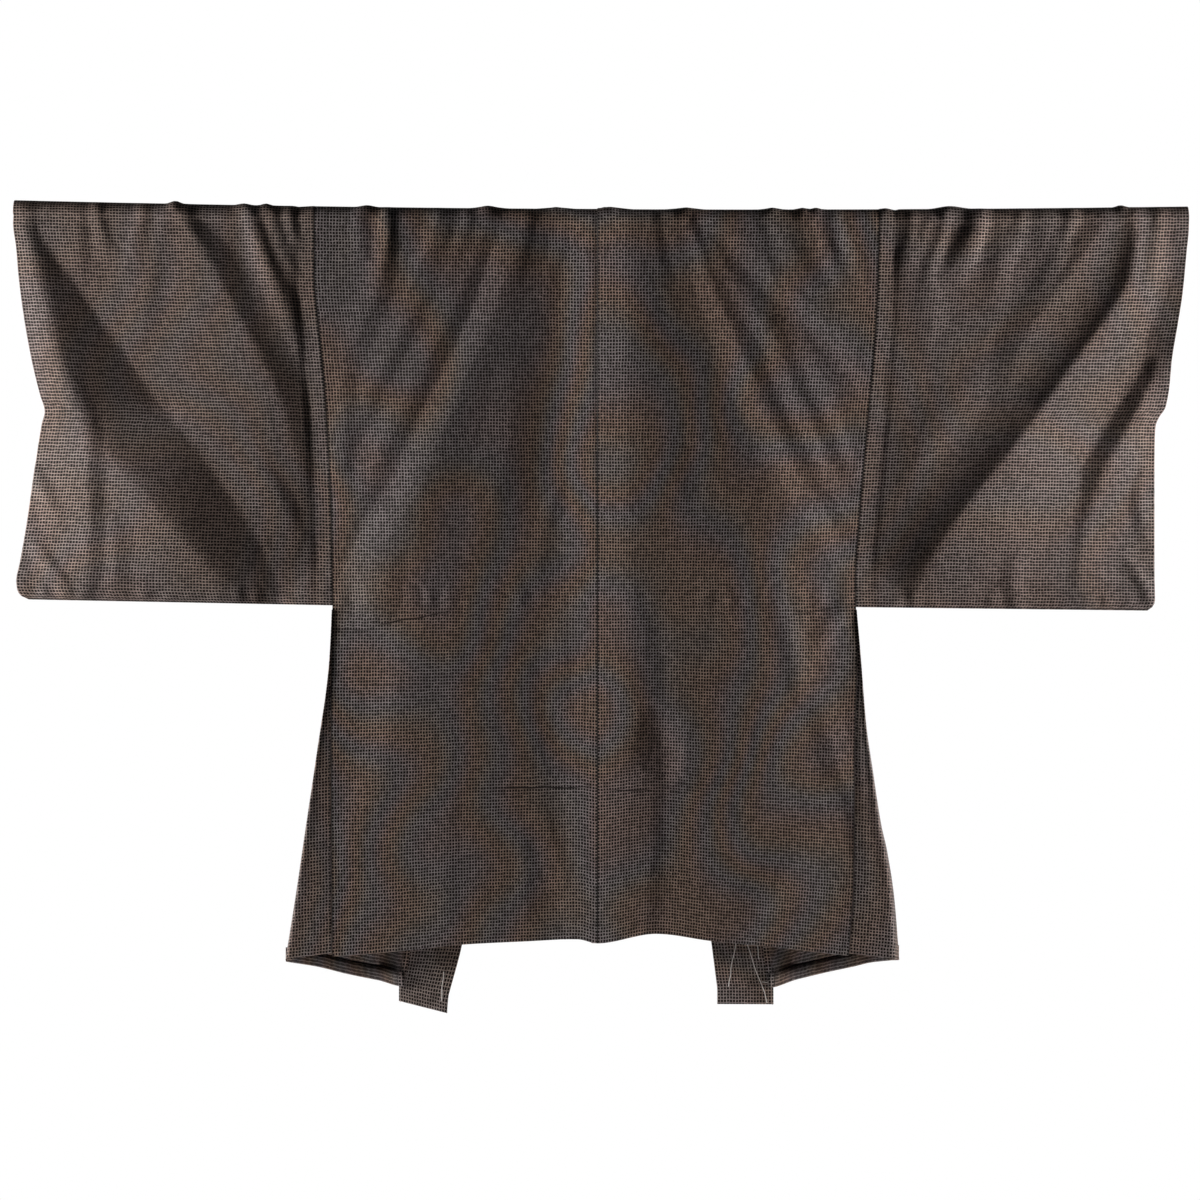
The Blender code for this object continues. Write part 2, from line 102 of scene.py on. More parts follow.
# ---- relief beside the seams, millimetres ----
STRIP_WIDTH = 20.0  # the strip beside an armhole seam
STRIP_END = 2.0  # it ends this far above the sleeve's bottom
STRIP_FADE = 2.5
STRIP_RISE = 0.3
STRIP_DENT = 1.1
SEAM_STEP = 1.2  # width of the crisp step at a seam
SIDE_STRIP = (0.4, 9.0)  # height and width beside a side seam
BACK_STRIP_WIDTH = 9.0
BACK_STRIP_RISE = 1.3
BACK_STRIP_FOOT = 4.0
BACK_STRIP_FADE = (-330.0, 160.0)  # below this z it has half its height, growing over so much
PUCKER_HEIGHT = 0.55
PUCKER_BAND = (9.0, 18.0)  # the ripples' middle above the seam, and how far they reach from it
PUCKER_WAVES = (3.9, 31.0, 17.0)  # the ripples, their uneven spacing and their uneven height
PUCKER_SWAY = 1.3
PUCKER_LEVELS = (0.6, 0.4)  # mean height and its swing
PLEAT_TOP = 16.0
PLEAT_SIZES = ((0.7, 1.0), (1.0, 0.8), (1.3, 0.1))  # share of width and height, from its top down

# ---- mesh steps, millimetres ----
STEP = 3.6
FRONT_STEP = 5.0
EDGE_STEPS = (0.0, 0.4, 1.5, 3.0, 5.0, 7.0, 9.5, 12.0, 15.0, 18.0)
WRAP_ROWS = 12
MAP_STEP = 2.0
MAP_EDGE = 1.001  # off the count of rows or columns, to keep a lookup inside the last one
CREST = 2.5  # how far a fold's crest is rounded
FOOT = (0.12, 0.12)  # share of the left and of the right flank where it runs out
SOFTNESS = {  # crest and foot of the folds that are softer on one side
    "cuff_fold_left": (6.0, (0.5, 0.04)),
    "cuff_fold_right": (1.5, (0.7, 0.3)),
    "underarm_left": (1.0, (0.5, 0.15)),
    "back_fold_left": (9.0, (0.05, 0.5)),
    "back_fold_right": (9.0, (0.5, 0.05)),
}
NECK_TURN_STEP = 4  # degrees round each neck corner
NECK_ROW_GAP = 0.006  # share of the fall between the neck's last row and the next
NECK_STATIONS = 11
GUSSET_ROWS = 110
GUSSET_COLUMNS = (0.0, 0.01, *np.linspace(0.04, 0.96, 20), 0.99, 1.0)
COLLAR_COLUMNS = 22
COLLAR_STEP = 4.5
MAP_REACH = 668.0
MAP_BOTTOM = -872.0
MAP_TOP = 24.0

# ---- outlines: height z, then the x of each edge ----
EDGES = {
    "left": {
        "armhole": [(15, -321.3), (-62, -321.3), (-126, -315.7), (-201, -308.9),
                    (-330, -302.6), (-432, -301.0)],
        "cuff": [(15, -657.5), (-2, -659.0), (-30, -655.5), (-62, -652.7), (-111, -646.0),
                 (-156, -637.5), (-194, -628.0), (-213, -622.5), (-228, -627.0),
                 (-276, -635.0), (-338, -644.3), (-382, -652.2), (-404, -656.6), (-414, -655.5),
                 (-421, -650.5), (-424.5, -642.0)],
        "back_side": [(-432, -301.0), (-540, -302.5), (-825, -301.0)],
        "front_side": [(-432, -301.0), (-496, -304.4), (-601, -319.0), (-683, -331.4),
                       (-745, -340.4), (-833, -354.2)],
        "front_edge": [(-47, -92.0), (-862, -228.0)],
    },
    "right": {
        "armhole": [(15, 314.6), (-72, 312.3), (-126, 309.5), (-212, 302.2),
                    (-330, 292.1), (-405, 287.4), (-432, 288.0)],
        "cuff": [(15, 659.0), (-2, 661.5), (-39, 658.3), (-81, 653.8), (-115, 648.2),
                 (-158, 641.1), (-188, 638.5), (-210, 634.5), (-220, 628.0), (-230, 624.6),
                 (-270, 624.0), (-384, 624.0), (-426, 624.5), (-433, 621.5), (-436.5, 616.0)],
        "back_side": [(-432, 288.0), (-472, 289.6), (-595, 286.5), (-736, 284.9), (-824, 279.6)],
        "front_side": [(-432, 288.0), (-501, 294.3), (-567, 299.9), (-618, 307.3),
                       (-679, 316.8), (-709, 323.5), (-762, 331.4), (-833, 337.0)],
        "front_edge": [(-47, 92.0), (-864, 197.0)],
    },
}
SLEEVE_HEM = [(-658, -424), (-300, -431), (288, -433), (624, -437)]
BACK_HEM = [(-301, -825), (-247, -821), (-205, -817), (-158, -812), (-81, -808), (-25, -805.5),
            (-3, -810), (63, -799.6), (125, -807.7), (194, -814.4), (262, -822.3), (280, -824.3)]
FRONT_HEM = {
    "left": [(-356, -832), (-322, -839), (-287, -849), (-258, -855.5), (-228, -861)],
    "right": [(197, -862.4), (229.5, -854.4), (258.4, -847), (287.3, -840), (307.5, -834.5),
              (340, -829.8)],
}
SIDE_DEPTH = [(15, 14.6), (-120, 13.5), (-300, 9.5), (-432, 6.5), (-600, 10.0), (-830, 15.0)]
FRONT_BULGE = [(0, 0.0), (-140, 0.0), (-330, 5.0), (-520, 11.0), (-700, 18.0), (-860, 24.0)]
BULGE_PEAK = 0.2

# ---- gathers that stand up over the rod: x, height, half width ----
GATHERS = [(-478, 3.2, 11), (-401, 1.8, 12), (-376, 2.2, 9), (-262, 2.0, 14), (-126, 3.0, 18),
           (-49, 2.2, 12), (11, 2.8, 12), (97, 2.4, 14), (194, 2.2, 12), (228, 2.0, 9),
           (243, 2.0, 9), (322, 1.4, 10), (394, 3.2, 26), (586, 2.4, 10)]

# ---- pleats below the rod: x at the top, x and z at the foot, height, left and right width ----
TOP_PLEATS = [(-566, -548, -40, 2.2, 14, 9), (-512, -536, -62, 1.8, 10, 16),
              (-398, -352, -96, 2.6, 12, 12),
              (-372, -338, -70, 2.4, 10, 10), (-352, -330, -44, 1.8, 9, 9),
              (-272, -262, -60, 1.3, 12, 12), (-236, -248, -74, 1.2, 12, 14),
              (-178, -214, -70, 1.3, 12, 10), (-142, -190, -96, 1.4, 12, 10),
              (-76, -106, -86, 1.2, 12, 10), (-34, -44, -52, 1, 9, 9),
              (14, 20, -46, 1, 9, 9), (66, 88, -84, 1.2, 10, 12), (104, 150, -100, 1.4, 10, 12),
              (180, 214, -74, 1.3, 10, 12), (232, 258, -66, 1.2, 9, 12),
              (262, 276, -60, 1.1, 9, 10), (352, 338, -66, 2.2, 10, 10),
              (392, 356, -86, 2.6, 10, 10), (436, 398, -70, 2.4, 12, 10),
              (478, 452, -54, 1.8, 12, 9), (536, 486, -84, 2.4, 14, 10),
              (628, 618, -70, 2.2, 10, 14)]

# ---- folds of the back: x, z, height, width to the left, width to the right ----
BACK_FOLDS = {
    "cuff_fold_left": [(-645, 4, 2.2, 14, 12), (-641, -22, 4, 14, 12), (-632, -54, 6.7, 22, 24),
        (-619, -102, 10.1, 34, 43), (-605, -158, 14, 48, 64), (-585, -207, 16.2, 84, 73),
        (-551, -259, 17.4, 160, 75), (-512, -303, 16.8, 190, 74), (-476, -343, 15.1, 190, 68),
        (-440, -383, 12.3, 170, 60), (-416, -415, 9, 140, 50)],
    "cuff_edge_left": [(-581, -205, 0.6, 50, 14), (-575, -240, 3, 64, 16),
        (-573, -290, 4.5, 70, 17), (-572, -335, 5, 72, 17), (-572, -380, 4.5, 70, 16),
        (-575, -412, 3, 60, 14)],
    "underarm_left": [(-470, 12, 3.2, 30, 10), (-455, -18, 4.9, 60, 19),
        (-440, -42, 5.8, 80, 28), (-416, -86, 6.5, 100, 34), (-392, -130, 6.5, 115, 34),
        (-372, -170, 5.8, 118, 32), (-356, -207, 4.3, 110, 28), (-344, -247, 2.4, 90, 23),
        (-336, -290, 0.9, 70, 17)],
    "armhole_streak_left": [(-384, -1, 1.5, 18, 11), (-371, -45, 3, 27, 16),
        (-355, -94, 3, 29, 16), (-338, -144, 1.5, 22, 13)],
    "shoulder_mark_left": [(-584, 15, 0.5, 22, 9), (-583, -21, 1.4, 29, 10),
        (-582, -57, 0.6, 25, 9)],
    "shoulder_band_left": [(-485, 11, 1, 34, 13), (-500, -32, 2, 45, 18), (-509, -77, 2, 52, 18),
        (-512, -116, 0.8, 45, 16)],
    "sleeve_lower_left": [(-375, -277, 0.8, 27, 9), (-357, -313, 2, 31, 13),
        (-337, -353, 1, 27, 11)],
    "sleeve_foot_left": [(-548, -335, 1.4, 18, 13), (-544, -380, 2.5, 22, 16),
        (-548, -414, 1.4, 18, 13)],
    "corner_crease_left": [(-638, -353, 1.1, 11, 6), (-618, -383, 2.9, 16, 6),
        (-595, -414, 1.4, 13, 6)],
    "corner_dent_left": [(-636, -279, 1.8, 9, 9), (-622, -308, 2.2, 13, 11),
        (-607, -341, 0.7, 11, 9)],
    "cuff_fold_right": [(597, 12, 2, 9, 12), (600, -14, 4.5, 18, 26), (599, -43, 7.5, 26, 40),
        (590, -75, 9.5, 30, 56), (565, -114, 10.5, 31, 64), (539, -149, 10.5, 32, 70),
        (502, -202, 10.5, 33, 76), (461, -259, 10.5, 35, 78), (420, -308, 9.5, 35, 82),
        (386, -357, 7.5, 33, 82), (363, -394, 5, 30, 76), (351, -424, 3, 26, 60)],
    "cuff_edge_right": [(622, -168, 3, 14, 18), (607, -207, 7.5, 20, 30),
        (585, -247, 8.5, 22, 40), (565, -284, 7, 22, 48), (554, -315, 4, 15, 50),
        (544, -350, 2.4, 11, 48), (539, -390, 1.8, 10, 44), (536, -425, 1.2, 9, 40)],
    "underarm_right": [(577, 15, 1.5, 13, 22), (555, -19, 3, 20, 34), (530, -54, 4, 27, 45),
        (506, -88, 4, 29, 49), (483, -124, 4, 31, 49), (465, -160, 3, 27, 45),
        (454, -195, 1, 20, 34)],
    "shoulder_loop_right": [(411, 14, 1.5, 9, 16), (419, -3, 3.8, 11, 20),
        (407, -30, 3.8, 13, 22), (389, -60, 1.5, 11, 20)],
    "shoulder_curve_right": [(380, 17, 0.8, 16, 11), (364, -12, 1.6, 18, 13),
        (351, -45, 1.6, 18, 13), (344, -77, 0.6, 13, 11)],
    "armhole_dent_right": [(370, -32, 1, 25, 16), (372, -77, 2.1, 27, 18),
        (370, -128, 1, 25, 16)],
    "sleeve_streak_right": [(452, -4, 0.8, 16, 16), (449, -45, 2.2, 18, 18),
        (440, -88, 0.8, 16, 16)],
    "sleeve_mark_right": [(497, 11, 0.6, 11, 13), (501, -16, 1.4, 13, 16), (494, -45, 0.5, 11, 13)],
    "sleeve_diagonal_right": [(433, -169, 0.6, 22, 22), (399, -206, 1.8, 29, 29),
        (368, -245, 1.8, 29, 29), (346, -288, 1, 22, 25)],
    "cuff_lip_right": [(664, -55, 2, 20, 8), (658, -85, 4.5, 26, 8), (652, -115, 6.5, 31, 8),
        (645, -148, 7, 32, 8), (640, -176, 6, 28, 8), (640, -198, 3, 18, 8)],
    "sleeve_foot_right": [(467, -380, 1.4, 13, 16), (463, -408, 2.5, 13, 18),
        (472, -429, 1.4, 13, 16)],
    "corner_crease_right": [(586, -371, 1.1, 9, 9), (607, -400, 2.9, 9, 11),
        (620, -425, 1.8, 8, 9)],
    "corner_dent_right": [(613, -279, 1.1, 9, 9), (607, -313, 2.9, 11, 13),
        (613, -352, 1.4, 9, 11)],
    "back_fold_left": [(-88, 8, 1, 12, 26), (-104, -36, 2.8, 16, 50), (-119, -96, 3.8, 19, 60),
        (-145, -156, 4.4, 21, 70), (-173, -220, 4.8, 24, 80), (-205, -296, 5, 27, 90),
        (-240, -352, 4.4, 25, 80), (-272, -400, 2.6, 18, 60)],
    "back_fold_second_left": [(-124, -4, 0.6, 12, 12), (-141, -40, 1.4, 20, 15),
        (-164, -96, 2, 25, 19), (-192, -156, 2.4, 26, 20), (-225, -220, 2.4, 26, 21),
        (-262, -296, 2, 22, 21), (-289, -345, 1, 16, 18)],
    "back_fold_third_left": [(-170, -20, 0.5, 12, 12), (-196, -75, 1.4, 18, 16),
        (-222, -125, 1.8, 20, 17), (-250, -180, 1.6, 20, 17), (-274, -235, 0.8, 16, 14)],
    "back_streak_left": [(-172, 8, 0.8, 10, 9), (-179, -21, 1.7, 16, 12), (-198, -50, 1, 16, 12),
        (-216, -77, 0.3, 11, 11)],
    "shoulder_fold_left": [(-242, 15, 1.2, 9, 8), (-238, -14, 2.4, 14, 9),
        (-243, -50, 2, 17, 13), (-256, -94, 1.6, 20, 16), (-276, -131, 1, 18, 16),
        (-295, -151, 0.4, 14, 14)],
    "armhole_fold_left": [(-285, -158, 0.5, 13, 11), (-286, -212, 1.6, 17, 13),
        (-289, -268, 1.8, 17, 13), (-288, -318, 0.8, 13, 11)],
    "middle_glow_left": [(-99, -169, 0.6, 23, 26), (-99, -223, 1.5, 32, 32),
        (-106, -274, 1.8, 38, 36), (-121, -318, 1.5, 35, 36), (-133, -358, 0.6, 26, 32)],
    "middle_streak_left": [(-38, 4, 0.5, 9, 9), (-49, -38, 1, 11, 13), (-61, -88, 0.6, 10, 13)],
    "middle_lower_left": [(-25, -245, 0.3, 10, 10), (-38, -290, 0.8, 13, 12),
        (-58, -335, 1, 13, 13), (-70, -392, 0.5, 12, 12)],
    "underarm_glow_left": [(-234, -371, 0.8, 18, 16), (-243, -409, 2.4, 29, 25),
        (-256, -439, 1.6, 27, 25)],
    "waist_light_left": [(-38, -421, 1, 20, 13), (-38, -481, 2.2, 25, 16),
        (-34, -538, 2.2, 25, 16), (-22, -588, 0.8, 20, 13)],
    "waist_mark_left": [(-166, -392, 0.1, 10, 9), (-166, -470, 0.4, 12, 10),
        (-165, -538, 0.2, 11, 10)],
    "back_fold_right": [(90, -2, 0.8, 30, 10), (99, -34, 2, 40, 12), (110, -81, 3, 50, 16),
        (131, -139, 4, 60, 21), (150, -193, 4.6, 70, 24), (176, -247, 4.8, 80, 25),
        (200, -293, 4.6, 80, 24), (232, -336, 4, 70, 23), (260, -375, 2.6, 55, 18),
        (281, -405, 1, 40, 14)],
    "back_fold_second_right": [(140, -60, 0.6, 12, 12), (150, -84, 1.4, 17, 14),
        (178, -139, 2.2, 19, 18), (201, -193, 2.6, 20, 18), (228, -247, 2.6, 20, 18),
        (252, -293, 2.2, 20, 17), (279, -336, 1.2, 16, 14)],
    "back_fold_third_right": [(203, -110, 0.6, 13, 12), (217, -140, 1.3, 15, 14),
        (240, -193, 2, 16, 15), (266, -247, 2, 16, 14), (283, -285, 1, 13, 12)],
    "shoulder_fold_right": [(112, -1, 1, 11, 10), (137, -26, 2.4, 15, 13), (166, -56, 3, 20, 16),
        (197, -88, 3.2, 23, 19), (225, -115, 3.2, 24, 20), (252, -140, 2.8, 23, 20),
        (275, -170, 1.8, 19, 17), (290, -200, 0.8, 15, 14)],
    "shoulder_streak_right": [(224, 2, 1, 10, 11), (234, -30, 1.9, 15, 16),
        (254, -62, 1.6, 17, 18), (273, -86, 0.6, 13, 16)],
    "shoulder_mark_right": [(252, 6, 0.7, 9, 10), (267, -25, 1.6, 12, 13),
        (279, -57, 1.2, 13, 13), (288, -88, 0.5, 11, 11)],
    "middle_streak_right": [(45, -5, 0.5, 9, 10), (43, -21, 0.8, 10, 12), (54, -41, 0.4, 9, 10)],
    "middle_blob_right": [(25, -139, 0.3, 10, 11), (20, -169, 0.8, 12, 13),
        (16, -206, 0.8, 11, 13), (13, -245, 0.3, 10, 11)],
    "middle_wave_right": [(16, -262, 0.3, 9, 10), (9, -296, 0.8, 11, 16),
        (11, -335, 0.7, 11, 16), (16, -380, 0.4, 10, 13)],
    "lower_arc_right": [(103, -262, 0.2, 26, 18), (119, -304, 0.7, 32, 28),
        (148, -347, 0.9, 40, 34), (182, -387, 0.9, 43, 40), (207, -427, 0.5, 40, 34)],
    "faint_arc_right": [(90, -212, 0.2, 13, 13), (99, -257, 0.5, 16, 18),
        (106, -313, 0.4, 16, 17)],
    "underarm_light_right": [(200, -439, 1, 13, 16), (213, -470, 2.4, 17, 19),
        (221, -506, 2.2, 17, 18), (227, -538, 0.8, 13, 13)],
    "underarm_bar_right": [(238, -484, 0.8, 16, 11), (256, -459, 2.2, 18, 13),
        (276, -436, 1.2, 13, 11)],
    "waist_light_right": [(63, -436, 0.4, 16, 13), (71, -481, 0.8, 16, 13),
        (74, -526, 0.6, 15, 13)],
    "hip_streak_left": [(-220, -466, 0.4, 16, 24), (-226, -515, 1.1, 20, 33),
        (-235, -571, 1.4, 24, 35), (-251, -625, 1.4, 25, 37), (-272, -675, 0.9, 22, 37),
        (-281, -720, 0.4, 16, 29)],
    "hip_flank_right": [(245, -526, 0.8, 16, 13), (254, -566, 2.2, 20, 20),
        (265, -605, 2.8, 22, 20), (279, -644, 1.4, 16, 13)],
    "tail_edge": [(70, -640, 0.8, 11, 30), (73, -690, 1.6, 13, 40), (70, -750, 1.8, 14, 44),
        (66, -800, 1.5, 14, 40)],
    "tail_ridge": [(-2, -636, 1, 26, 50), (-2, -690, 3, 36, 60), (-2, -750, 4, 40, 62),
        (-2, -806, 4.5, 40, 62)],
    "dimple_rim": [(58, -545, 0.8, 14, 14), (66, -562, 2.8, 32, 22), (71, -580, 4.4, 40, 24),
        (73, -598, 4.5, 38, 23), (74, -613, 3.4, 28, 20), (74, -627, 1.4, 12, 12)],
    "hem_fold_left": [(-66, -657, 0.7, 16, 11), (-54, -689, 1.4, 20, 12),
        (-40, -726, 1.7, 22, 12), (-31, -762, 1.8, 22, 12), (-22, -807, 1.8, 20, 12)],
    "hem_mark_left": [(-90, -684, 0.3, 10, 9), (-83, -729, 0.8, 12, 10),
        (-83, -785, 0.5, 11, 10)],
    "hem_wave_left": [(-169, -650, 0.2, 16, 11), (-172, -717, 0.7, 20, 12),
        (-170, -796, 0.7, 20, 12)],
    "hem_diagonal_right": [(256, -663, 0.6, 25, 20), (225, -706, 1.4, 31, 25),
        (191, -751, 1.6, 34, 27), (162, -802, 1, 29, 25)],
    "hem_side_right": [(283, -650, 1.2, 11, 13), (290, -684, 1.6, 13, 16),
        (301, -729, 0.8, 13, 13)],
}

# ---- creases of the back, pressed in: x, z, depth, half width ----
BACK_CREASES = {
    "waist_crease": [(-180, -636, 0.6, 5), (-120, -636, 1.6, 5), (-60, -637, 2.6, 5),
                     (-3, -640, 3.0, 5), (50, -638, 2.4, 5), (110, -634, 1.2, 5),
                     (180, -630, 0.5, 5)],
    "underarm_crease_left": [(-296, -460, 0.8, 5), (-252, -456, 1.6, 5), (-234, -451, 1.8, 5),
                             (-198, -446, 0.8, 5)],
    "underarm_crease_right": [(191, -429, 0.5, 5), (240, -430, 1.2, 5), (281, -431, 0.8, 5)],
}

# ---- folds of the hidden front, with the same columns ----
FRONT_FOLDS = {
    "front_cuff_left": [(-470, -20, 3, 50, 60), (-520, -110, 8, 60, 70), (-570, -230, 9, 60, 60),
                        (-600, -360, 4, 40, 50)],
    "front_fan_left": [(-420, -16, 2, 26, 30), (-440, -120, 5, 36, 36), (-450, -260, 4, 40, 40),
                       (-470, -380, 1, 40, 40)],
    "front_armhole_left": [(-345, -20, 2, 20, 24), (-352, -140, 4, 24, 26),
                           (-340, -300, 2, 24, 24)],
    "front_chest_left": [(-160, -14, 3, 22, 26), (-205, -130, 7, 34, 38), (-262, -270, 7, 36, 36),
                         (-292, -390, 3, 24, 24)],
    "front_chest_second_left": [(-120, -20, 1, 16, 20), (-150, -170, 4, 24, 24),
                                (-190, -330, 5, 30, 30), (-225, -470, 2, 26, 26)],
    "front_skirt_left": [(-252, -480, 2, 26, 30), (-262, -620, 3.2, 34, 38),
        (-272, -780, 3.6, 34, 38)],
    "front_cuff_right": [(480, -18, 3, 60, 50), (540, -120, 8, 70, 60), (580, -240, 9, 60, 56),
                         (596, -350, 4, 50, 36)],
    "front_fan_right": [(415, -16, 2, 30, 26), (430, -130, 5, 36, 36), (438, -250, 4, 40, 36),
                        (462, -370, 1, 36, 36)],
    "front_armhole_right": [(338, -22, 2, 24, 20), (342, -150, 4, 26, 24), (330, -310, 2, 24, 24)],
    "front_chest_right": [(170, -14, 3, 26, 22), (212, -120, 7, 38, 34), (258, -250, 7, 36, 36),
                          (284, -380, 3, 22, 22)],
    "front_chest_second_right": [(128, -20, 1, 20, 16), (150, -160, 4, 24, 24),
                                 (184, -320, 5, 30, 30), (212, -450, 2, 26, 26)],
    "front_skirt_right": [(238, -480, 2, 30, 26), (246, -620, 3.2, 38, 34),
        (254, -780, 3.6, 38, 34)],
}

# ---- loose white tacking threads on the collar's ends: x, z ----
TACKING = {
    "right_long": [(153.5, -811), (151, -826), (148, -842), (146.5, -852), (145.5, -862)],
    "right_slant": [(165.5, -812), (172, -832), (179, -851), (186, -870), (189, -880)],
    "right_short": [(177.5, -815), (178.6, -823), (179.8, -831)],
    "right_cross": [(183, -856.5), (188, -857.2), (195, -856.4)],
    "left_long": [(-176.5, -845), (-177.6, -856), (-178.2, -866), (-179.5, -878)],
}


def straight(table, at):
    """The second column of a table at `at` in its first, along straight lines."""
    rows = sorted(table)
    return np.interp(at, [row[0] for row in rows], [row[1] for row in rows])


def curve(table, at):
    """The same along a smooth curve that never overshoots the table's points."""
    rows = np.array(sorted(table), float)
    known, value = rows[:, 0], rows[:, 1]
    steps = np.diff(known)
    slopes = np.diff(value) / steps
    tangent = np.concatenate([[slopes[0]], np.zeros(len(rows) - 2), [slopes[-1]]])
    same = slopes[:-1] * slopes[1:] > 0
    middle = 2 * slopes[:-1] * slopes[1:] / np.where(same, slopes[:-1] + slopes[1:], 1.0)
    tangent[1:-1] = np.where(same, middle, 0.0)
    at = np.clip(np.asarray(at, float), known[0], known[-1])
    k = np.clip(np.searchsorted(known, at, side="right") - 1, 0, len(rows) - 2)
    t = (at - known[k]) / steps[k]
    return ((2 * t**3 - 3 * t**2 + 1) * value[k] + (t**3 - 2 * t**2 + t) * steps[k] * tangent[k]
            + (3 * t**2 - 2 * t**3) * value[k + 1] + (t**3 - t**2) * steps[k] * tangent[k + 1])


def ease(value):
    value = np.clip(value, 0.0, 1.0)
    return value * value * (3.0 - 2.0 * value)


def rod_height(x):
    return ROD_TILT * x + ROD_SAG * x * x


def smooth_line(rows, samples=5):
    """A fold's rows read along a smooth curve through them."""
    rows = np.array(rows, float)
    ends = np.vstack([2 * rows[0] - rows[1], rows, 2 * rows[-1] - rows[-2]])
    points = []
    for k in range(len(rows) - 1):
        before, start, end, after = ends[k:k + 4]
        for t in np.linspace(0, 1, samples, endpoint=False):
            points.append(0.5 * (2 * start + (end - before) * t
                                 + (2 * before - 5 * start + 4 * end - after) * t**2
                                 + (3 * start - before - 3 * end + after) * t**3))
    return np.array(points + [rows[-1]])


def nearest_on(line, x, z, reach):
    """Distance to the line, the sideways part of it, and the line's sizes there."""
    chosen = ((x > line[:, 0].min() - reach) & (x < line[:, 0].max() + reach)
              & (z > line[:, 1].min() - reach) & (z < line[:, 1].max() + reach))
    start, step = line[:-1, :2], np.diff(line[:, :2], axis=0)
    offset = np.stack([x[chosen], z[chosen]], axis=-1)[:, None, :] - start
    share = np.clip((offset * step).sum(-1) / (step * step).sum(-1), 0.0, 1.0)
    gap = offset - share[..., None] * step
    distance = np.hypot(gap[..., 0], gap[..., 1])
    nearest = distance.argmin(-1)
    pick = np.arange(len(nearest)), nearest
    size = line[nearest] + share[pick][:, None] * (line[nearest + 1] - line[nearest])
    return chosen, distance[pick], gap[..., 0][pick], size


def ridges(x, z, folds):
    """Height of a group of folds: along each line a ridge with two plain unlike flanks."""
    total = np.zeros_like(x)
    for name, rows in folds.items():
        line = smooth_line(rows)
        rounding, feet = SOFTNESS.get(name, (CREST, FOOT))
        reach = (1.0 + max(feet)) * max(line[:, 3].max(), line[:, 4].max())
        chosen, distance, sideways, size = nearest_on(line, x, z, reach)
        to_right = ease(0.5 + sideways / (distance + 0.5))
        width = size[:, 3] * (1 - to_right) + size[:, 4] * to_right
        foot = feet[0] * (1 - to_right) + feet[1] * to_right
        crest = np.minimum(rounding, 0.5 * width)
        down = (np.hypot(distance, crest) - 0.5 * crest) / width
        low = np.clip(1.0 + foot - down, 0.0, 2 * foot) ** 2 / (4 * foot)
        total[chosen] += size[:, 2] * np.where(down < 1.0 - foot, 1.0 - down, low)
    return total


def creases(x, z, lines):
    """Depth of the pressed creases."""
    total = np.zeros_like(x)
    for rows in lines.values():
        line = smooth_line(rows)
        chosen, distance, _, size = nearest_on(line, x, z, 2.0 * line[:, 3].max())
        total[chosen] += size[:, 2] * ease(1.0 - distance / size[:, 3])
    return total


def hem_puckers(x, z):
    """Small uneven ripples that the sleeves' bottom seams draw into the cloth."""
    above = z - straight(SLEEVE_HEM, x)
    fine, spacing, uneven = PUCKER_WAVES
    ripple = np.sin(x / fine + PUCKER_SWAY * np.sin(x / spacing))
    ripple *= PUCKER_LEVELS[0] + PUCKER_LEVELS[1] * np.sin(x / uneven)
    return PUCKER_HEIGHT * ripple * ease(1.0 - np.abs(above - PUCKER_BAND[0]) / PUCKER_BAND[1])


def seam_step(out):
    """0 before a seam and 1 past it."""
    return ease((out + SEAM_STEP / 2) / SEAM_STEP)


def seam_relief(x, z):
    """Strips that the turned-in cloth raises beside the seams, each with a crisp step."""
    total = np.zeros_like(x)
    upper = z > SLEEVE_BOTTOM_Z + STRIP_END
    for name, sign in (("left", -1.0), ("right", 1.0)):
        out = sign * (x - curve(EDGES[name]["armhole"], z))
        strip = seam_step(out) * np.clip(1.0 - out / STRIP_WIDTH, 0.0, 1.0)
        dent = np.clip(out / STRIP_WIDTH, 0.0, 1.0)
        dent *= ease((STRIP_WIDTH + STRIP_FADE - out) / STRIP_FADE)
        total += np.where(upper, STRIP_RISE * strip - STRIP_DENT * dent, 0.0)
        side = sign * (curve(EDGES[name]["back_side"], z) - x)
        raised = SIDE_STRIP[0] * ease(1.0 - side / SIDE_STRIP[1])
        total += np.where(z < SLEEVE_BOTTOM_Z, raised, 0.0)
    middle = x - BACK_SEAM_X
    fade = 0.5 + 0.5 * ease((z - BACK_STRIP_FADE[0]) / BACK_STRIP_FADE[1])
    foot = ease((BACK_STRIP_WIDTH + BACK_STRIP_FOOT / 2 - middle) / BACK_STRIP_FOOT)
    total += BACK_STRIP_RISE * fade * seam_step(middle) * foot
    return total


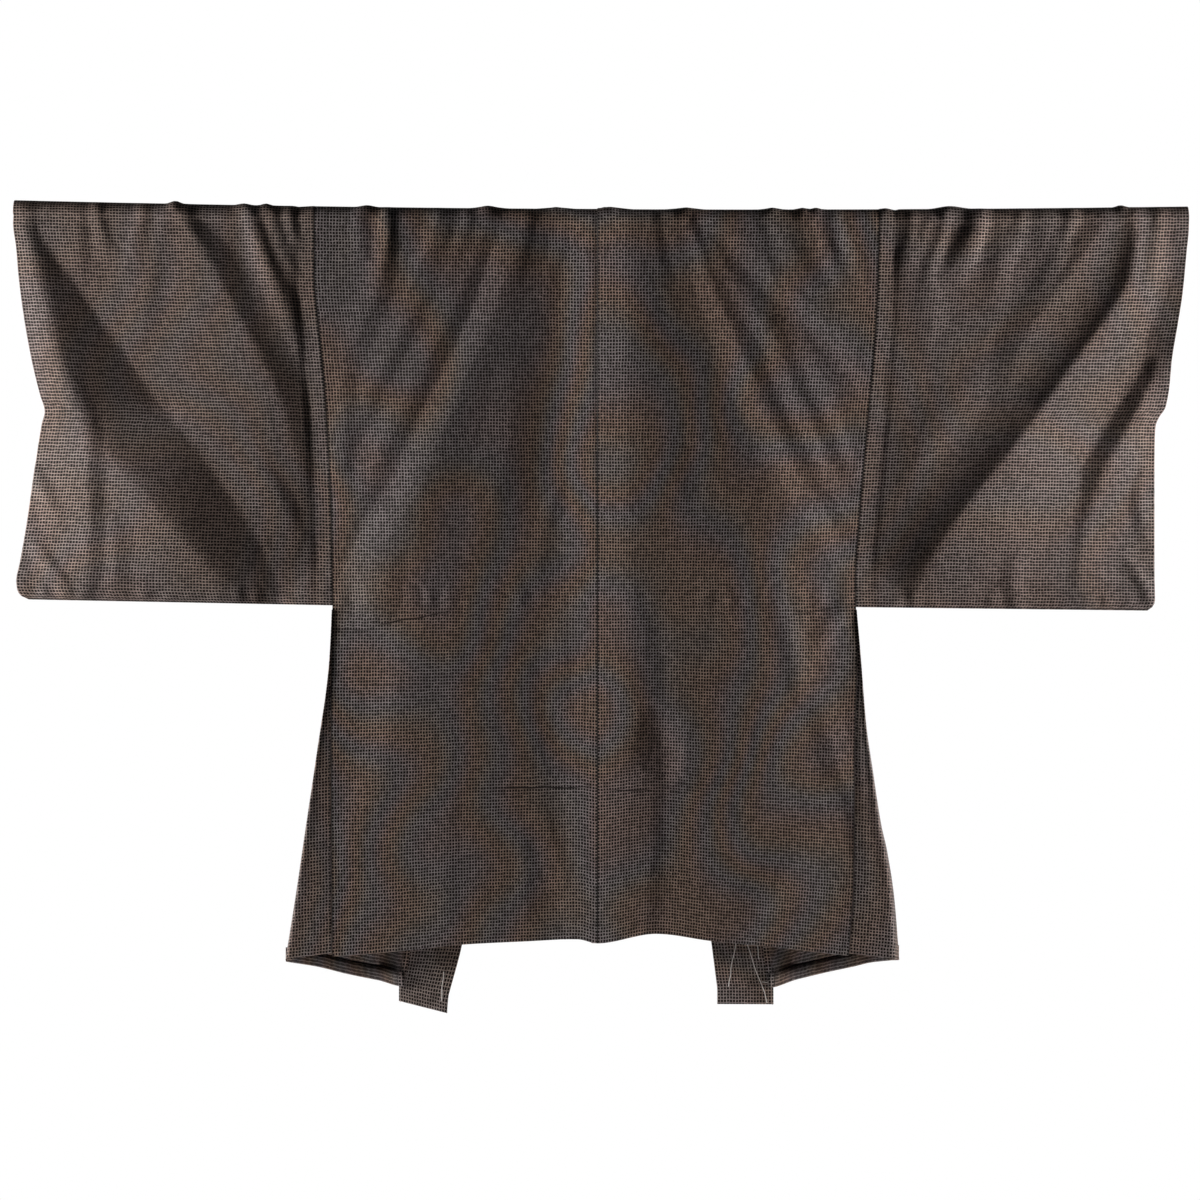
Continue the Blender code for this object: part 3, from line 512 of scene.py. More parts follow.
def half_depth(x, z):
    """Half the distance between the two layers: least at the armholes and sewn edges."""
    depth = np.empty_like(x)
    for name, chosen in (("left", x < BACK_SEAM_X), ("right", x >= BACK_SEAM_X)):
        edges = EDGES[name]
        level = z[chosen]
        arm = np.abs(curve(edges["armhole"], level))
        out = np.abs(curve(edges["cuff"], level))
        at = np.abs(x[chosen])
        side = curve(SIDE_DEPTH, level)
        inside = side + (WRAP_RADIUS - side) * ease((arm - at) / BODY_TAPER)
        full = side + (SLEEVE_HALF - side) * ease((at - arm) / SLEEVE_TAPER)
        bottom = ease((level - straight(SLEEVE_HEM, x[chosen])) / BOTTOM_TAPER)
        bottom = np.maximum(bottom, ease(1.0 - (at - arm) / ARMHOLE_OPEN))
        above = level - CUFF_OPENING_Z + CUFF_EASE[0]
        edge = np.maximum(ease((out - at) / CUFF_TAPER), ease(above / CUFF_EASE[1]))
        sleeve = SLEEVE_EDGE_HALF + (full - SLEEVE_EDGE_HALF) * bottom * edge
        depth[chosen] = np.where(at > arm, sleeve, inside)
    return depth


def below_rod(x, z, length=FREE_BELOW):
    """0 at the rod, growing to 1 where the cloth hangs free."""
    return ease((rod_height(x) - z) / length)


def relief_map(folds, crease_relief_and_painted_shade):
    """Heights of folds less creases on a fine square grid of the whole garment."""
    x, z = np.meshgrid(np.arange(-MAP_REACH, MAP_REACH + 1, MAP_STEP),
                       np.arange(MAP_BOTTOM, MAP_TOP + 1, MAP_STEP))
    flat_x, flat_z = x.ravel(), z.ravel()
    height = ridges(flat_x, flat_z, folds) - creases(flat_x, flat_z, crease_relief_and_painted_shade)
    return height.reshape(x.shape)


def lookup(heights, x, z):
    """The map's height at each point, between its four nearest grid points."""
    across = np.clip((x + MAP_REACH) / MAP_STEP, 0, heights.shape[1] - MAP_EDGE)
    up = np.clip((z - MAP_BOTTOM) / MAP_STEP, 0, heights.shape[0] - MAP_EDGE)
    column, row = across.astype(int), up.astype(int)
    a, b = across - column, up - row
    return ((heights[row, column] * (1 - a) + heights[row, column + 1] * a) * (1 - b)
            + (heights[row + 1, column] * (1 - a) + heights[row + 1, column + 1] * a) * b)


def with_pleats(folds):
    """The folds and the short pleats, each pleat as a fold that fades downwards."""
    made = dict(folds)
    for index, (top, foot, level, height, left, right) in enumerate(TOP_PLEATS):
        places = ((top, PLEAT_TOP), (0.5 * (top + foot), 0.5 * level), (foot, level))
        made["pleat_%d" % index] = [(x, z, tall * height, wide * left, wide * right)
                                    for (x, z), (wide, tall) in zip(places, PLEAT_SIZES)]
    return made


def back_relief(x, z):
    return lookup(BACK_MAP, x, z) + hem_puckers(x, z) + seam_relief(x, z)


def back_face(x, z):
    return -half_depth(x, z) - back_relief(x, z)


def front_face(x, z):
    """The sleeves' front follows the back where the two are sewn together."""
    depth = half_depth(x, z)
    loose = ease((depth - SLEEVE_EDGE_HALF) / LOOSE_DEPTH)
    front = lookup(FRONT_MAP, x, z) * below_rod(x, z) + FRONT_SEAM_SHARE * seam_relief(x, z)
    return depth + front * loose - back_relief(x, z) * (1.0 - loose)


BACK_MAP = relief_map(with_pleats(BACK_FOLDS), BACK_CREASES)
FRONT_MAP = relief_map(FRONT_FOLDS, {})


def gather(x):
    total = np.zeros_like(x)
    for centre, height, half in GATHERS:
        total += height * ease(1.0 - np.abs(x - centre) / half)
    return total


def wrap_points(x, turn):
    """Points over the rod: turn 0 is the back's tangent, 1 the front's."""
    angle = math.pi * turn
    level = rod_height(x)
    relief = seam_relief(x, level) + gather(x) * math.sin(angle)
    relief += lookup(BACK_MAP, x, level) * max(math.cos(angle), 0.0) ** WRAP_FADE
    radius = WRAP_RADIUS + relief
    return np.stack([x, -radius * math.cos(angle), rod_height(x) + radius * math.sin(angle)], -1)


def hanging_level(x, upper, lower, hem):
    """Height of a row: `upper` runs 0 to 1 to the sleeves' bottom, then `lower` to the hem."""
    top = rod_height(x) * (1 - upper) + upper * straight(SLEEVE_HEM, x)
    return top * (1 - lower) + lower * hem


def shares(first, second, step):
    """Each hanging row's share of the upper and of the lower fall, from the rod down."""
    upper = np.linspace(0.0, 1.0, round(-SLEEVE_BOTTOM_Z / step) + 1)[1:]
    lower = np.linspace(0.0, 1.0, round((SLEEVE_BOTTOM_Z - second) / step) + 1)[1:]
    return [(share, 0.0) for share in upper if share > first] + [(1.0, share) for share in lower]


def columns(width):
    """Shares across a panel, close together beside the seams at both edges."""
    edge = np.array(EDGE_STEPS)
    middle = np.linspace(edge[-1], width - edge[-1], round((width - 2 * edge[-1]) / STEP) + 1)
    return np.concatenate([edge[:-1], middle, (width - edge[:-1])[::-1]]) / width


def neck_edge(distance, name):
    """x of the neckline and front edge, at a distance along the cloth from the rod's top."""
    sign = -1.0 if name == "left" else 1.0
    if distance >= NECK_RADIUS:
        return float(straight(EDGES[name]["front_edge"], WRAP_LENGTH - distance))
    across = math.sqrt(max(NECK_RADIUS**2 - (NECK_RADIUS - distance) ** 2, 0.0))
    return sign * (NECK_STRAIGHT + across)


def inward(edge):
    """Directions from the cloth's outer side to its inner side."""
    y, rise = edge[..., 1], edge[..., 2] - rod_height(edge[..., 0])
    over = rise > 0
    length = np.hypot(y, rise)
    return np.stack([np.zeros_like(y), np.where(over, -y / length, -np.sign(y)),
                     np.where(over, -rise / length, 0.0)], -1)


def tuck(points, weave, sign, lip_rows=0):
    """Adds turned-in cloth before a grid's first column, lying behind the next panel's edge.

    On the first `lip_rows` rows it's only a narrow lip."""
    edge = points[:, 0]
    full = (np.arange(len(points)) >= lip_rows)[:, None]
    extra, drift = [], []
    for past, behind in TUCK:
        step = np.array((sign * past, 0.0, 0.0)) + behind * inward(edge)
        extra.append(edge + np.where(full, step, LIP * behind * inward(edge)))
        drift.append(weave[:, 0] - np.array((abs(past), 0.0)))
    return (np.concatenate([np.stack(extra, 1), points], axis=1),
            np.concatenate([np.stack(drift, 1), weave], axis=1))


def hemmed(points, weave):
    """Adds the turned-up hems before the first row and after the last."""
    for _ in range(2):
        edge = points[0]
        extra = [edge + np.array((0.0, 0.0, up)) + behind * inward(edge)
                 for up, behind in HEM_TURN]
        drift = [weave[0] + np.array((0.0, up)) for up, _ in HEM_TURN]
        points = np.concatenate([extra, points])[::-1]
        weave = np.concatenate([drift, weave])[::-1]
    return points, weave


def mesh_object(name, points, edges, faces, finish=None):
    """A piece from points in metres and its edges or faces."""
    mesh = bpy.data.meshes.new(name)
    mesh.from_pydata(points, edges, faces)
    if finish is not None:
        mesh.materials.append(finish)
    piece = bpy.data.objects.new(name, mesh)
    bpy.context.scene.collection.objects.link(piece)
    return piece


def cloth_object(name, points, weave, finish, wall, faces):
    """A walled cloth piece from a grid of points, with its weave's own UV map in metres."""
    piece = mesh_object(name, (points.reshape(-1, 3) * MM).tolist(), [], faces, finish)
    mesh = piece.data
    layer = mesh.uv_layers.new(name="weave")
    corners = np.empty(len(mesh.loops), np.int32)
    mesh.loops.foreach_get("vertex_index", corners)
    layer.data.foreach_set("uv", (weave.reshape(-1, 2) * MM)[corners].astype(np.float32).ravel())
    mesh.shade_smooth()
    solid = piece.modifiers.new("cloth", "SOLIDIFY")
    solid.thickness = wall * MM
    solid.offset = 0.0
    solid.use_even_offset = False
    return piece


def grid_faces(rows, count, ring=False):
    faces = []
    for row in range(rows if ring else rows - 1):
        above = (row + 1) % rows
        for column in range(count - 1):
            faces.append((row * count + column, row * count + column + 1,
                          above * count + column + 1, above * count + column))
    return faces


def run_along(points):
    """Distance along the middle column of a grid, for the weave's second coordinate."""
    middle = points[:, points.shape[1] // 2]
    steps = np.linalg.norm(np.diff(middle, axis=0), axis=1)
    return np.concatenate([[0.0], np.cumsum(steps)])


def body(name, silk):
    """One length of cloth: up the back, over the rod, round the neck and down the front."""
    edges = EDGES[name]
    sign = -1.0 if name == "left" else 1.0
    across = columns(CUT_WIDTH)
    inner_back = BACK_SEAM_X + sign * SEAM_GAP / 2
    rows = []
    for upper, lower in reversed(shares(0.0, BACK_HEM_SIDE_Z, STEP)):
        level = SLEEVE_BOTTOM_Z * upper + (BACK_HEM_SIDE_Z - SLEEVE_BOTTOM_Z) * lower
        side = edges["armhole"] if lower == 0.0 else edges["back_side"]
        outer = float(curve(side, level)) - sign * SEAM_GAP / 2
        x = inner_back + (outer - inner_back) * across
        z = hanging_level(x, upper, lower, curve(BACK_HEM, x))
        rows.append(np.stack([x, back_face(x, z), z], -1))
    outer = float(curve(edges["armhole"], 0.0)) - sign * SEAM_GAP / 2
    for distance in np.linspace(-WRAP_LENGTH, -NECK_GAP, WRAP_ROWS):
        rows.append(wrap_points(inner_back + (outer - inner_back) * across,
                                0.5 + distance / WRAP_LENGTH / 2))
    back_rows = len(rows)
    for turn in range(0, 90, NECK_TURN_STEP):
        down = NECK_RADIUS * (1 - math.cos(math.radians(turn)))
        x_in = neck_edge(down, name)
        x = x_in + (outer - x_in) * across
        if down < WRAP_LENGTH:
            rows.append(wrap_points(x, 0.5 + down / WRAP_LENGTH / 2))
            continue
        upper = (WRAP_LENGTH - down) / SLEEVE_BOTTOM_Z
        z = hanging_level(x, upper, 0.0, 0.0)
        rows.append(np.stack([x, front_face(x, z), z], -1))
    corner = float(straight(edges["front_edge"], FRONT_CORNER_Z))
    hem_corner = float(curve(FRONT_HEM[name], corner))
    first = NECK_END / SLEEVE_BOTTOM_Z
    falls = shares(first + NECK_ROW_GAP, FRONT_HEM_SIDE_Z, FRONT_STEP)
    for upper, lower in [(first, 0.0)] + falls:
        level = SLEEVE_BOTTOM_Z * upper + (FRONT_HEM_SIDE_Z - SLEEVE_BOTTOM_Z) * lower
        side = edges["armhole"] if lower == 0.0 else edges["front_side"]
        outer = float(curve(side, level)) - sign * SEAM_GAP / 2
        inner = neck_edge(WRAP_LENGTH - hanging_level(corner, upper, lower, hem_corner), name)
        x = inner + (outer - inner) * across
        z = hanging_level(x, upper, lower, curve(FRONT_HEM[name], x))
        rise = across / BULGE_PEAK
        drop = (1.0 - across) / (1.0 - BULGE_PEAK)
        bulge = curve(FRONT_BULGE, level) * ease(np.minimum(rise, drop))
        rows.append(np.stack([x, front_face(x, z) + bulge, z], -1))
    points = np.array(rows)
    along = run_along(points)
    weave = np.stack(np.broadcast_arrays(across * CUT_WIDTH, along[:, None]), -1)
    points, weave = tuck(points, weave, -sign, back_rows if name == "left" else 0)
    points, weave = hemmed(points, weave)
    if name == "left":
        points, weave = points[:, ::-1], weave[:, ::-1]
    faces = grid_faces(*points.shape[:2])
    return cloth_object("body_cloth_" + name, points, weave, silk, CLOTH, faces)


def sleeve(name, silk):
    """One length folded over the rod, a ring in section, sewn shut along its lower outer edge."""
    edges = EDGES[name]
    sign = -1.0 if name == "left" else 1.0
    across = columns(SLEEVE_CUT)

    def hanging(fall, face):
        level = fall * SLEEVE_BOTTOM_Z
        inner = float(curve(edges["armhole"], level)) + sign * SEAM_GAP / 2
        outer_level = hanging_level(sign * CUFF_X, fall, 0.0, 0.0)
        outer = float(curve(edges["cuff"], outer_level))
        x = inner + (outer - inner) * across
        z = hanging_level(x, fall, 0.0, 0.0)
        return np.stack([x, face(x, z), z], -1)

    falls = [upper for upper, lower in shares(0.0, BACK_HEM_SIDE_Z, STEP) if lower == 0.0][::-1]
    rows = [hanging(fall, back_face) for fall in falls]
    inner = float(curve(edges["armhole"], 0.0)) + sign * SEAM_GAP / 2
    outer = float(curve(edges["cuff"], 0.0))
    for turn in np.linspace(0.0, 1.0, 2 * WRAP_ROWS + 1):
        rows.append(wrap_points(inner + (outer - inner) * across, turn))
    rows += [hanging(fall, front_face) for fall in falls[::-1]]
    points = np.array(rows)
    along = run_along(points)
    weave = np.stack(np.broadcast_arrays(across * SLEEVE_CUT, along[:, None]), -1)
    points, weave = tuck(points, weave, -sign)
    count, width = points.shape[:2]
    faces = grid_faces(count, width, ring=True)
    last = width - 1
    for row, fall in enumerate(falls[:-1]):
        if falls[row + 1] * SLEEVE_BOTTOM_Z > CUFF_OPENING_Z:
            break
        faces.append((row * width + last, (count - 1 - row) * width + last,
                      (count - 2 - row) * width + last, (row + 1) * width + last))
    if name == "left":
        faces = [face[::-1] for face in faces]
    return cloth_object("sleeve_cloth_" + name, points, weave, silk, CLOTH, faces)


def gusset(name, silk):
    """A long taper: flat beside the back's seam, then turning away to the front's."""
    edges = EDGES[name]
    sign = -1.0 if name == "left" else 1.0
    top = SLEEVE_BOTTOM_Z - GUSSET_TOP_GAP
    hem_back, hem_front = GUSSET_HEM_Z
    width, depth = GUSSET_FLAT[name]
    across = np.array(GUSSET_COLUMNS)
    rows = []
    for fall in np.linspace(0.0, 1.0, GUSSET_ROWS):
        level = np.array([top + (hem_back - top) * fall, top + (hem_front - top) * fall])
        x = np.array([curve(edges["back_side"], level[0]), curve(edges["front_side"], level[1])])
        start = np.array([x[0], back_face(x[:1], level[:1])[0], level[0]])
        end = np.array([x[1], front_face(x[1:], level[1:])[0], level[1]])
        reach = end - start
        gap = CORNER_GAP / np.linalg.norm(reach)
        share = gap + (1.0 - 2 * gap) * across
        flat = np.minimum(share / GUSSET_TURN, 1.0)
        round_off = np.clip((share - GUSSET_TURN) / (1.0 - GUSSET_TURN), 0.0, 1.0)
        sideways = width * flat + (1.0 - width) * np.sin(round_off * math.pi / 2)
        away = depth * flat**2 + (1.0 - depth) * round_off**GUSSET_ROUND
        points = start + np.stack([reach[0] * sideways, reach[1] * away, reach[2] * share], -1)
        swollen = float(curve(GUSSET_SWELL[name], fall)) * min(abs(reach[0]) / GUSSET_FULL, 1.0)
        points[:, 1] -= swollen * np.sin(math.pi * np.clip(share / GUSSET_SWELL_END, 0, 1)) ** 2
        rows.append(points)
    points = np.array(rows)
    along = -run_along(points)
    wide = np.linalg.norm(np.diff(points, axis=1), axis=2).cumsum(axis=1)
    wide = np.concatenate([np.zeros((len(points), 1)), wide], axis=1)
    weave = np.stack(np.broadcast_arrays(wide, along[:, None]), -1)
    points, weave = tuck(points, weave, -sign)
    points, weave = tuck(points[:, ::-1], weave[:, ::-1], -sign)
    points, weave = points[:, ::-1], weave[:, ::-1]
    if name == "left":
        points, weave = points[:, ::-1], weave[:, ::-1]
    return cloth_object("gusset_cloth_" + name, points, weave, silk, CLOTH,
                        grid_faces(*points.shape[:2]))


def collar_route(step):
    """Stations along the sewn edge: x, distance down from the rod's top, the inward turn, side."""
    route = {}
    for name, sign in (("left", -1.0), ("right", 1.0)):
        edge = EDGES[name]["front_edge"]
        hem = float(curve(FRONT_HEM[name], straight(edge, FRONT_CORNER_Z)))
        length = -hem + COLLAR_DROP + WRAP_LENGTH - NECK_RADIUS
        leg = []
        for share in np.linspace(1.0, 0.0, round(length / step) + 1):
            down = NECK_RADIUS + share * length
            leg.append((float(straight(edge, WRAP_LENGTH - down)), down, 90.0, sign))
        for turn in np.arange(90.0 - NECK_TURN_STEP, 0.0, -NECK_TURN_STEP):
            angle = math.radians(turn)
            leg.append((sign * (NECK_STRAIGHT + NECK_RADIUS * math.sin(angle)),
                        NECK_RADIUS * (1.0 - math.cos(angle)), turn, sign))
        route[name] = leg
    middle = np.linspace(-NECK_STRAIGHT, NECK_STRAIGHT, NECK_STATIONS)[1:-1]
    return route["left"] + [(x, 0.0, 0.0, 1.0) for x in middle] + route["right"][::-1]


def collar_point(x, down, turn, sign, widths):
    """Points across the strip at one station."""
    angle = math.radians(turn)
    across = x - sign * widths * math.sin(angle)
    deep = down + widths * math.cos(angle)
    level = rod_height(across) - np.maximum(deep - WRAP_LENGTH, 0.0)
    wrapped = np.clip(deep / WRAP_LENGTH, 0.0, 1.0) * math.pi / 2
    slide, drop = COLLAR_TILT["left" if sign < 0 else "right"]
    end = FRONT_HEM["left"][-1][1] - COLLAR_DROP
    tilt = ease((end + TILT_RISE - level) / TILT_RISE) * widths / COLLAR_WIDTH
    return np.stack([across + sign * slide * tilt,
                     np.where(deep < WRAP_LENGTH, WRAP_RADIUS * np.sin(wrapped),
                              front_face(across, level) + collar_wave(across, level)),
                     np.where(deep < WRAP_LENGTH, rod_height(across)
                              + WRAP_RADIUS * np.cos(wrapped), level - drop * tilt)], -1)


def collar_wave(x, z):
    """The doubled strip's own slow waves."""
    waves = [height * np.sin(z / down + x / across) for height, down, across in COLLAR_WAVES]
    return below_rod(x, z, COLLAR_CALM) * sum(waves)


def collar(silk):
    """One doubled strip, sewn along its outer edge, its free edge inside the neck opening."""
    widths = np.linspace(COLLAR_OFFSET, COLLAR_WIDTH + COLLAR_OVER, COLLAR_COLUMNS)
    route = collar_route(COLLAR_STEP)
    points = np.array([collar_point(*station, widths) for station in route])
    steps = np.linalg.norm(np.diff(points[:, 0], axis=0), axis=1)
    along = np.concatenate([[0.0], np.cumsum(steps)])
    weave = np.stack(np.broadcast_arrays(widths, along[:, None]), -1)
    return cloth_object("collar_cloth", points, weave, silk, COLLAR_CLOTH,
                        grid_faces(*points.shape[:2]))


# ---- node helpers ----
def new_tree(name):
    made = bpy.data.materials.new(name)
    made.use_nodes = True
    made.node_tree.nodes.clear()
    return made, made.node_tree


def add(tree, kind, **settings):
    """A node with its settings; a setting named after an input socket fills or links it."""
    node = tree.nodes.new(kind)
    for key, value in settings.items():
        if hasattr(node, key):
            setattr(node, key, value)
            continue
        socket = node.inputs[int(key[1:]) if key[1:].isdigit() else key.replace("_", " ")]
        if isinstance(value, bpy.types.NodeSocket):
            tree.links.new(value, socket)
        else:
            socket.default_value = value
    return node


def calc(tree, operation, *values):
    node = tree.nodes.new("ShaderNodeMath")
    node.operation = operation
    for socket, value in zip(node.inputs, values):
        if isinstance(value, bpy.types.NodeSocket):
            tree.links.new(value, socket)
        else:
            socket.default_value = value
    return node.outputs[0]


def blend(tree, share, first, second):
    node = tree.nodes.new("ShaderNodeMix")
    node.data_type = "RGBA"
    for key, value in (("Factor_Float", share), ("A_Color", first), ("B_Color", second)):
        socket = next(each for each in node.inputs if each.identifier == key)
        if isinstance(value, bpy.types.NodeSocket):
            tree.links.new(value, socket)
        else:
            socket.default_value = value
    return next(each for each in node.outputs if each.identifier == "Result_Color")


def surface(tree, output, kind="Material"):
    """Joins a shader to a material's or the world's surface."""
    out = tree.nodes.new("ShaderNodeOutput" + kind)
    tree.links.new(output, out.inputs["Surface"])


def camera_sees(tree, lit, seen, kind="Material"):
    """One shader for the light and another for the camera."""
    mixed = add(tree, "ShaderNodeMixShader")
    tree.links.new(add(tree, "ShaderNodeLightPath").outputs["Is Camera Ray"], mixed.inputs[0])
    tree.links.new(lit.outputs[0], mixed.inputs[1])
    tree.links.new(seen.outputs[0], mixed.inputs[2])
    surface(tree, mixed.outputs[0], kind)


# ---- weave, metres and linear colours ----
# painted shadows of thin pressed creases of the back, millimetres: z where x is 0, slope, first and
# last x, shade
CREASE_SHADOW_LINES = [(-634.0, 0.02, -125, -4, 0.95), (-640.5, 0.05, -4, 70, 0.8),
                 (-633.0, 0.01, 60, 185, 0.35), (-638.0, 0.0, -190, -110, 0.25),
                 (-397.0, 0.23, -262, -160, 0.85), (-459.0, 0.0, -303, -240, 0.55),
                 (-470.0, 0.13, 205, 300, 0.6)]
CHECK_ACROSS = 0.0034
CHECK_ALONG = 0.0036
ROW_SLIDE = 0.2
UPRIGHT_SHARE = 0.27
LEVEL_SHARE = 0.29
LINE_SOFT = 0.045
LINE_FLANKS = (0.4, 1.6)  # share of its half width where a painted shadow line starts and ends to fade
LINE_FADE = 0.03  # a painted crease shadow fades over this much at its ends
# painted shadow lines in the back seam and along the body's side and armhole seams
BACK_SEAM_SHADOW = (1.0, 0.0006)  # shade and half width
SIDE_SEAM_SHADOW = (0.95, 0.0009)
CREASE_SHADOW_HALF = 0.0009
CREASE_SHADOW_SWAY = (22.0, 0.004)  # scale of the noise, and how far it bends the lines each way
WANDER = (26.0, 0.0016)  # the same for the weave's slow bends, from end to end
QUICK_SWAY = (150.0, 0.0011)  # and for its quick ones, each way
SLUB_SCALE = (160.0, 2400.0, 1.0)
SLUB = (0.7, 0.45)  # swing and least light of the uneven level lines
CHANCE = (0.7, 0.62)  # the same from crossing to crossing
GROUND = (0.003, 0.0025, 0.0025, 1.0)
THREAD = (0.372, 0.303, 0.276, 1.0)
DRIFT = ((0.0, 0.24), (2.7, 0.08), (3.4, 0.38))  # each channel's phase and swing
DRIFT_SCALE = 4.4
# drift of the tint, and the light of the uprights and of the levels
PLAIN_SILK = (0.2, 0.86, 1.0)  # gussets and collar
# on the sleeves the level lines are brighter and the uprights dimmer than elsewhere: a painted weft
# sheen
SLEEVE_SILK_PAINTED_SHEEN = (0.16, 0.68, 1.22)
BODY_SILK = (0.37, 0.85, 1.0)
DRIFT_TURN = (44.0, 70.0)  # with the noise, and across the cloth
SILK_BUMP = {"Strength": 0.35, "Distance": 0.00015}
SILK = {"Roughness": 0.62, "Metallic": 0.0, "Specular_IOR_Level": 0.2, "Sheen_Weight": 0.07,
        "Sheen_Roughness": 0.45, "Sheen_Tint": (0.95, 0.86, 0.82, 1.0)}
SILK_THREAD = (0.07, 0.055, 0.048, 1.0)
WHITE_THREAD = (0.75, 0.74, 0.72, 1.0)
THREAD_SHEEN = {"Roughness": 0.6, "Metallic": 0.0}
WOOD_DARK = (0.17, 0.095, 0.045, 1.0)
WOOD_LIGHT = (0.30, 0.195, 0.11, 1.0)
WOOD_STRETCH = (1.5, 60.0, 60.0)  # the grain runs along the rod
WOOD_GRAIN = {"Scale": 2.2, "Detail": 6.0, "Roughness": 0.6}
WOOD_BUMP = {"Strength": 0.2, "Distance": 0.0004}
WOOD = {"Roughness": 0.52, "Metallic": 0.0}


def check_line(tree, coordinate, period, width):
    """1 on a line of this share of each period of the coordinate, 0 between."""
    share = calc(tree, "FRACT", calc(tree, "DIVIDE", coordinate, period))
    away = calc(tree, "ABSOLUTE", calc(tree, "SUBTRACT", share, 0.5))
    edge = 0.5 - width / 2
    ramp = add(tree, "ShaderNodeMapRange", interpolation_type="SMOOTHSTEP", Value=away,
               From_Min=edge - LINE_SOFT, From_Max=edge + LINE_SOFT)
    return ramp.outputs["Result"]


def line_shade(tree, value, course, shade, half):
    """One painted shadow line's shade, where `value` is within half a width of `course`."""
    near = calc(tree, "ABSOLUTE", calc(tree, "SUBTRACT", value, course))
    start, end = LINE_FLANKS
    side = add(tree, "ShaderNodeMapRange", interpolation_type="SMOOTHSTEP", Value=near,
               From_Min=start * half, From_Max=end * half, To_Min=shade, To_Max=0.0)
    return side.outputs["Result"]


def fade_ends(tree, line, place, first, last):
    """The line's shade, running out at its first and last place."""
    for edge, reach in ((first, LINE_FADE), (last, -LINE_FADE)):
        fade = add(tree, "ShaderNodeMapRange", Value=place, From_Min=edge, From_Max=edge + reach)
        line = calc(tree, "MULTIPLY", line, fade.outputs["Result"])
    return line


def seam_crease_painted_shade(tree, place, across):
    """Painted shadow lines in the back's seams and pressed creases, as a share of the cloth's
    light.
    """
    parts = add(tree, "ShaderNodeSeparateXYZ", Vector=place)
    x, y = parts.outputs["X"], parts.outputs["Y"]
    scale, bend = CREASE_SHADOW_SWAY
    noise = add(tree, "ShaderNodeTexNoise", Vector=place, Scale=scale, Detail=1.0).outputs["Fac"]
    sway = calc(tree, "MULTIPLY_ADD", noise, 2 * bend, -bend)
    # painted shadow lines in the back seam and along the side and armhole seams
    total = line_shade(tree, x, BACK_SEAM_X * MM, *BACK_SEAM_SHADOW)
    side = line_shade(tree, across, CUT_WIDTH * MM, *SIDE_SEAM_SHADOW)
    total = calc(tree, "MAXIMUM", total, side)
    # painted shadow lines along the pressed creases
    for level, slope, first, last, shade in CREASE_SHADOW_LINES:
        course = calc(tree, "ADD", calc(tree, "MULTIPLY_ADD", x, slope, level * MM), sway)
        line = line_shade(tree, parts.outputs["Z"], course, shade, CREASE_SHADOW_HALF)
        line = fade_ends(tree, line, x, first * MM, last * MM)
        total = calc(tree, "MAXIMUM", total, line)
    behind = calc(tree, "LESS_THAN", y, 0.0)
    return calc(tree, "SUBTRACT", 1.0, calc(tree, "MULTIPLY", total, behind))


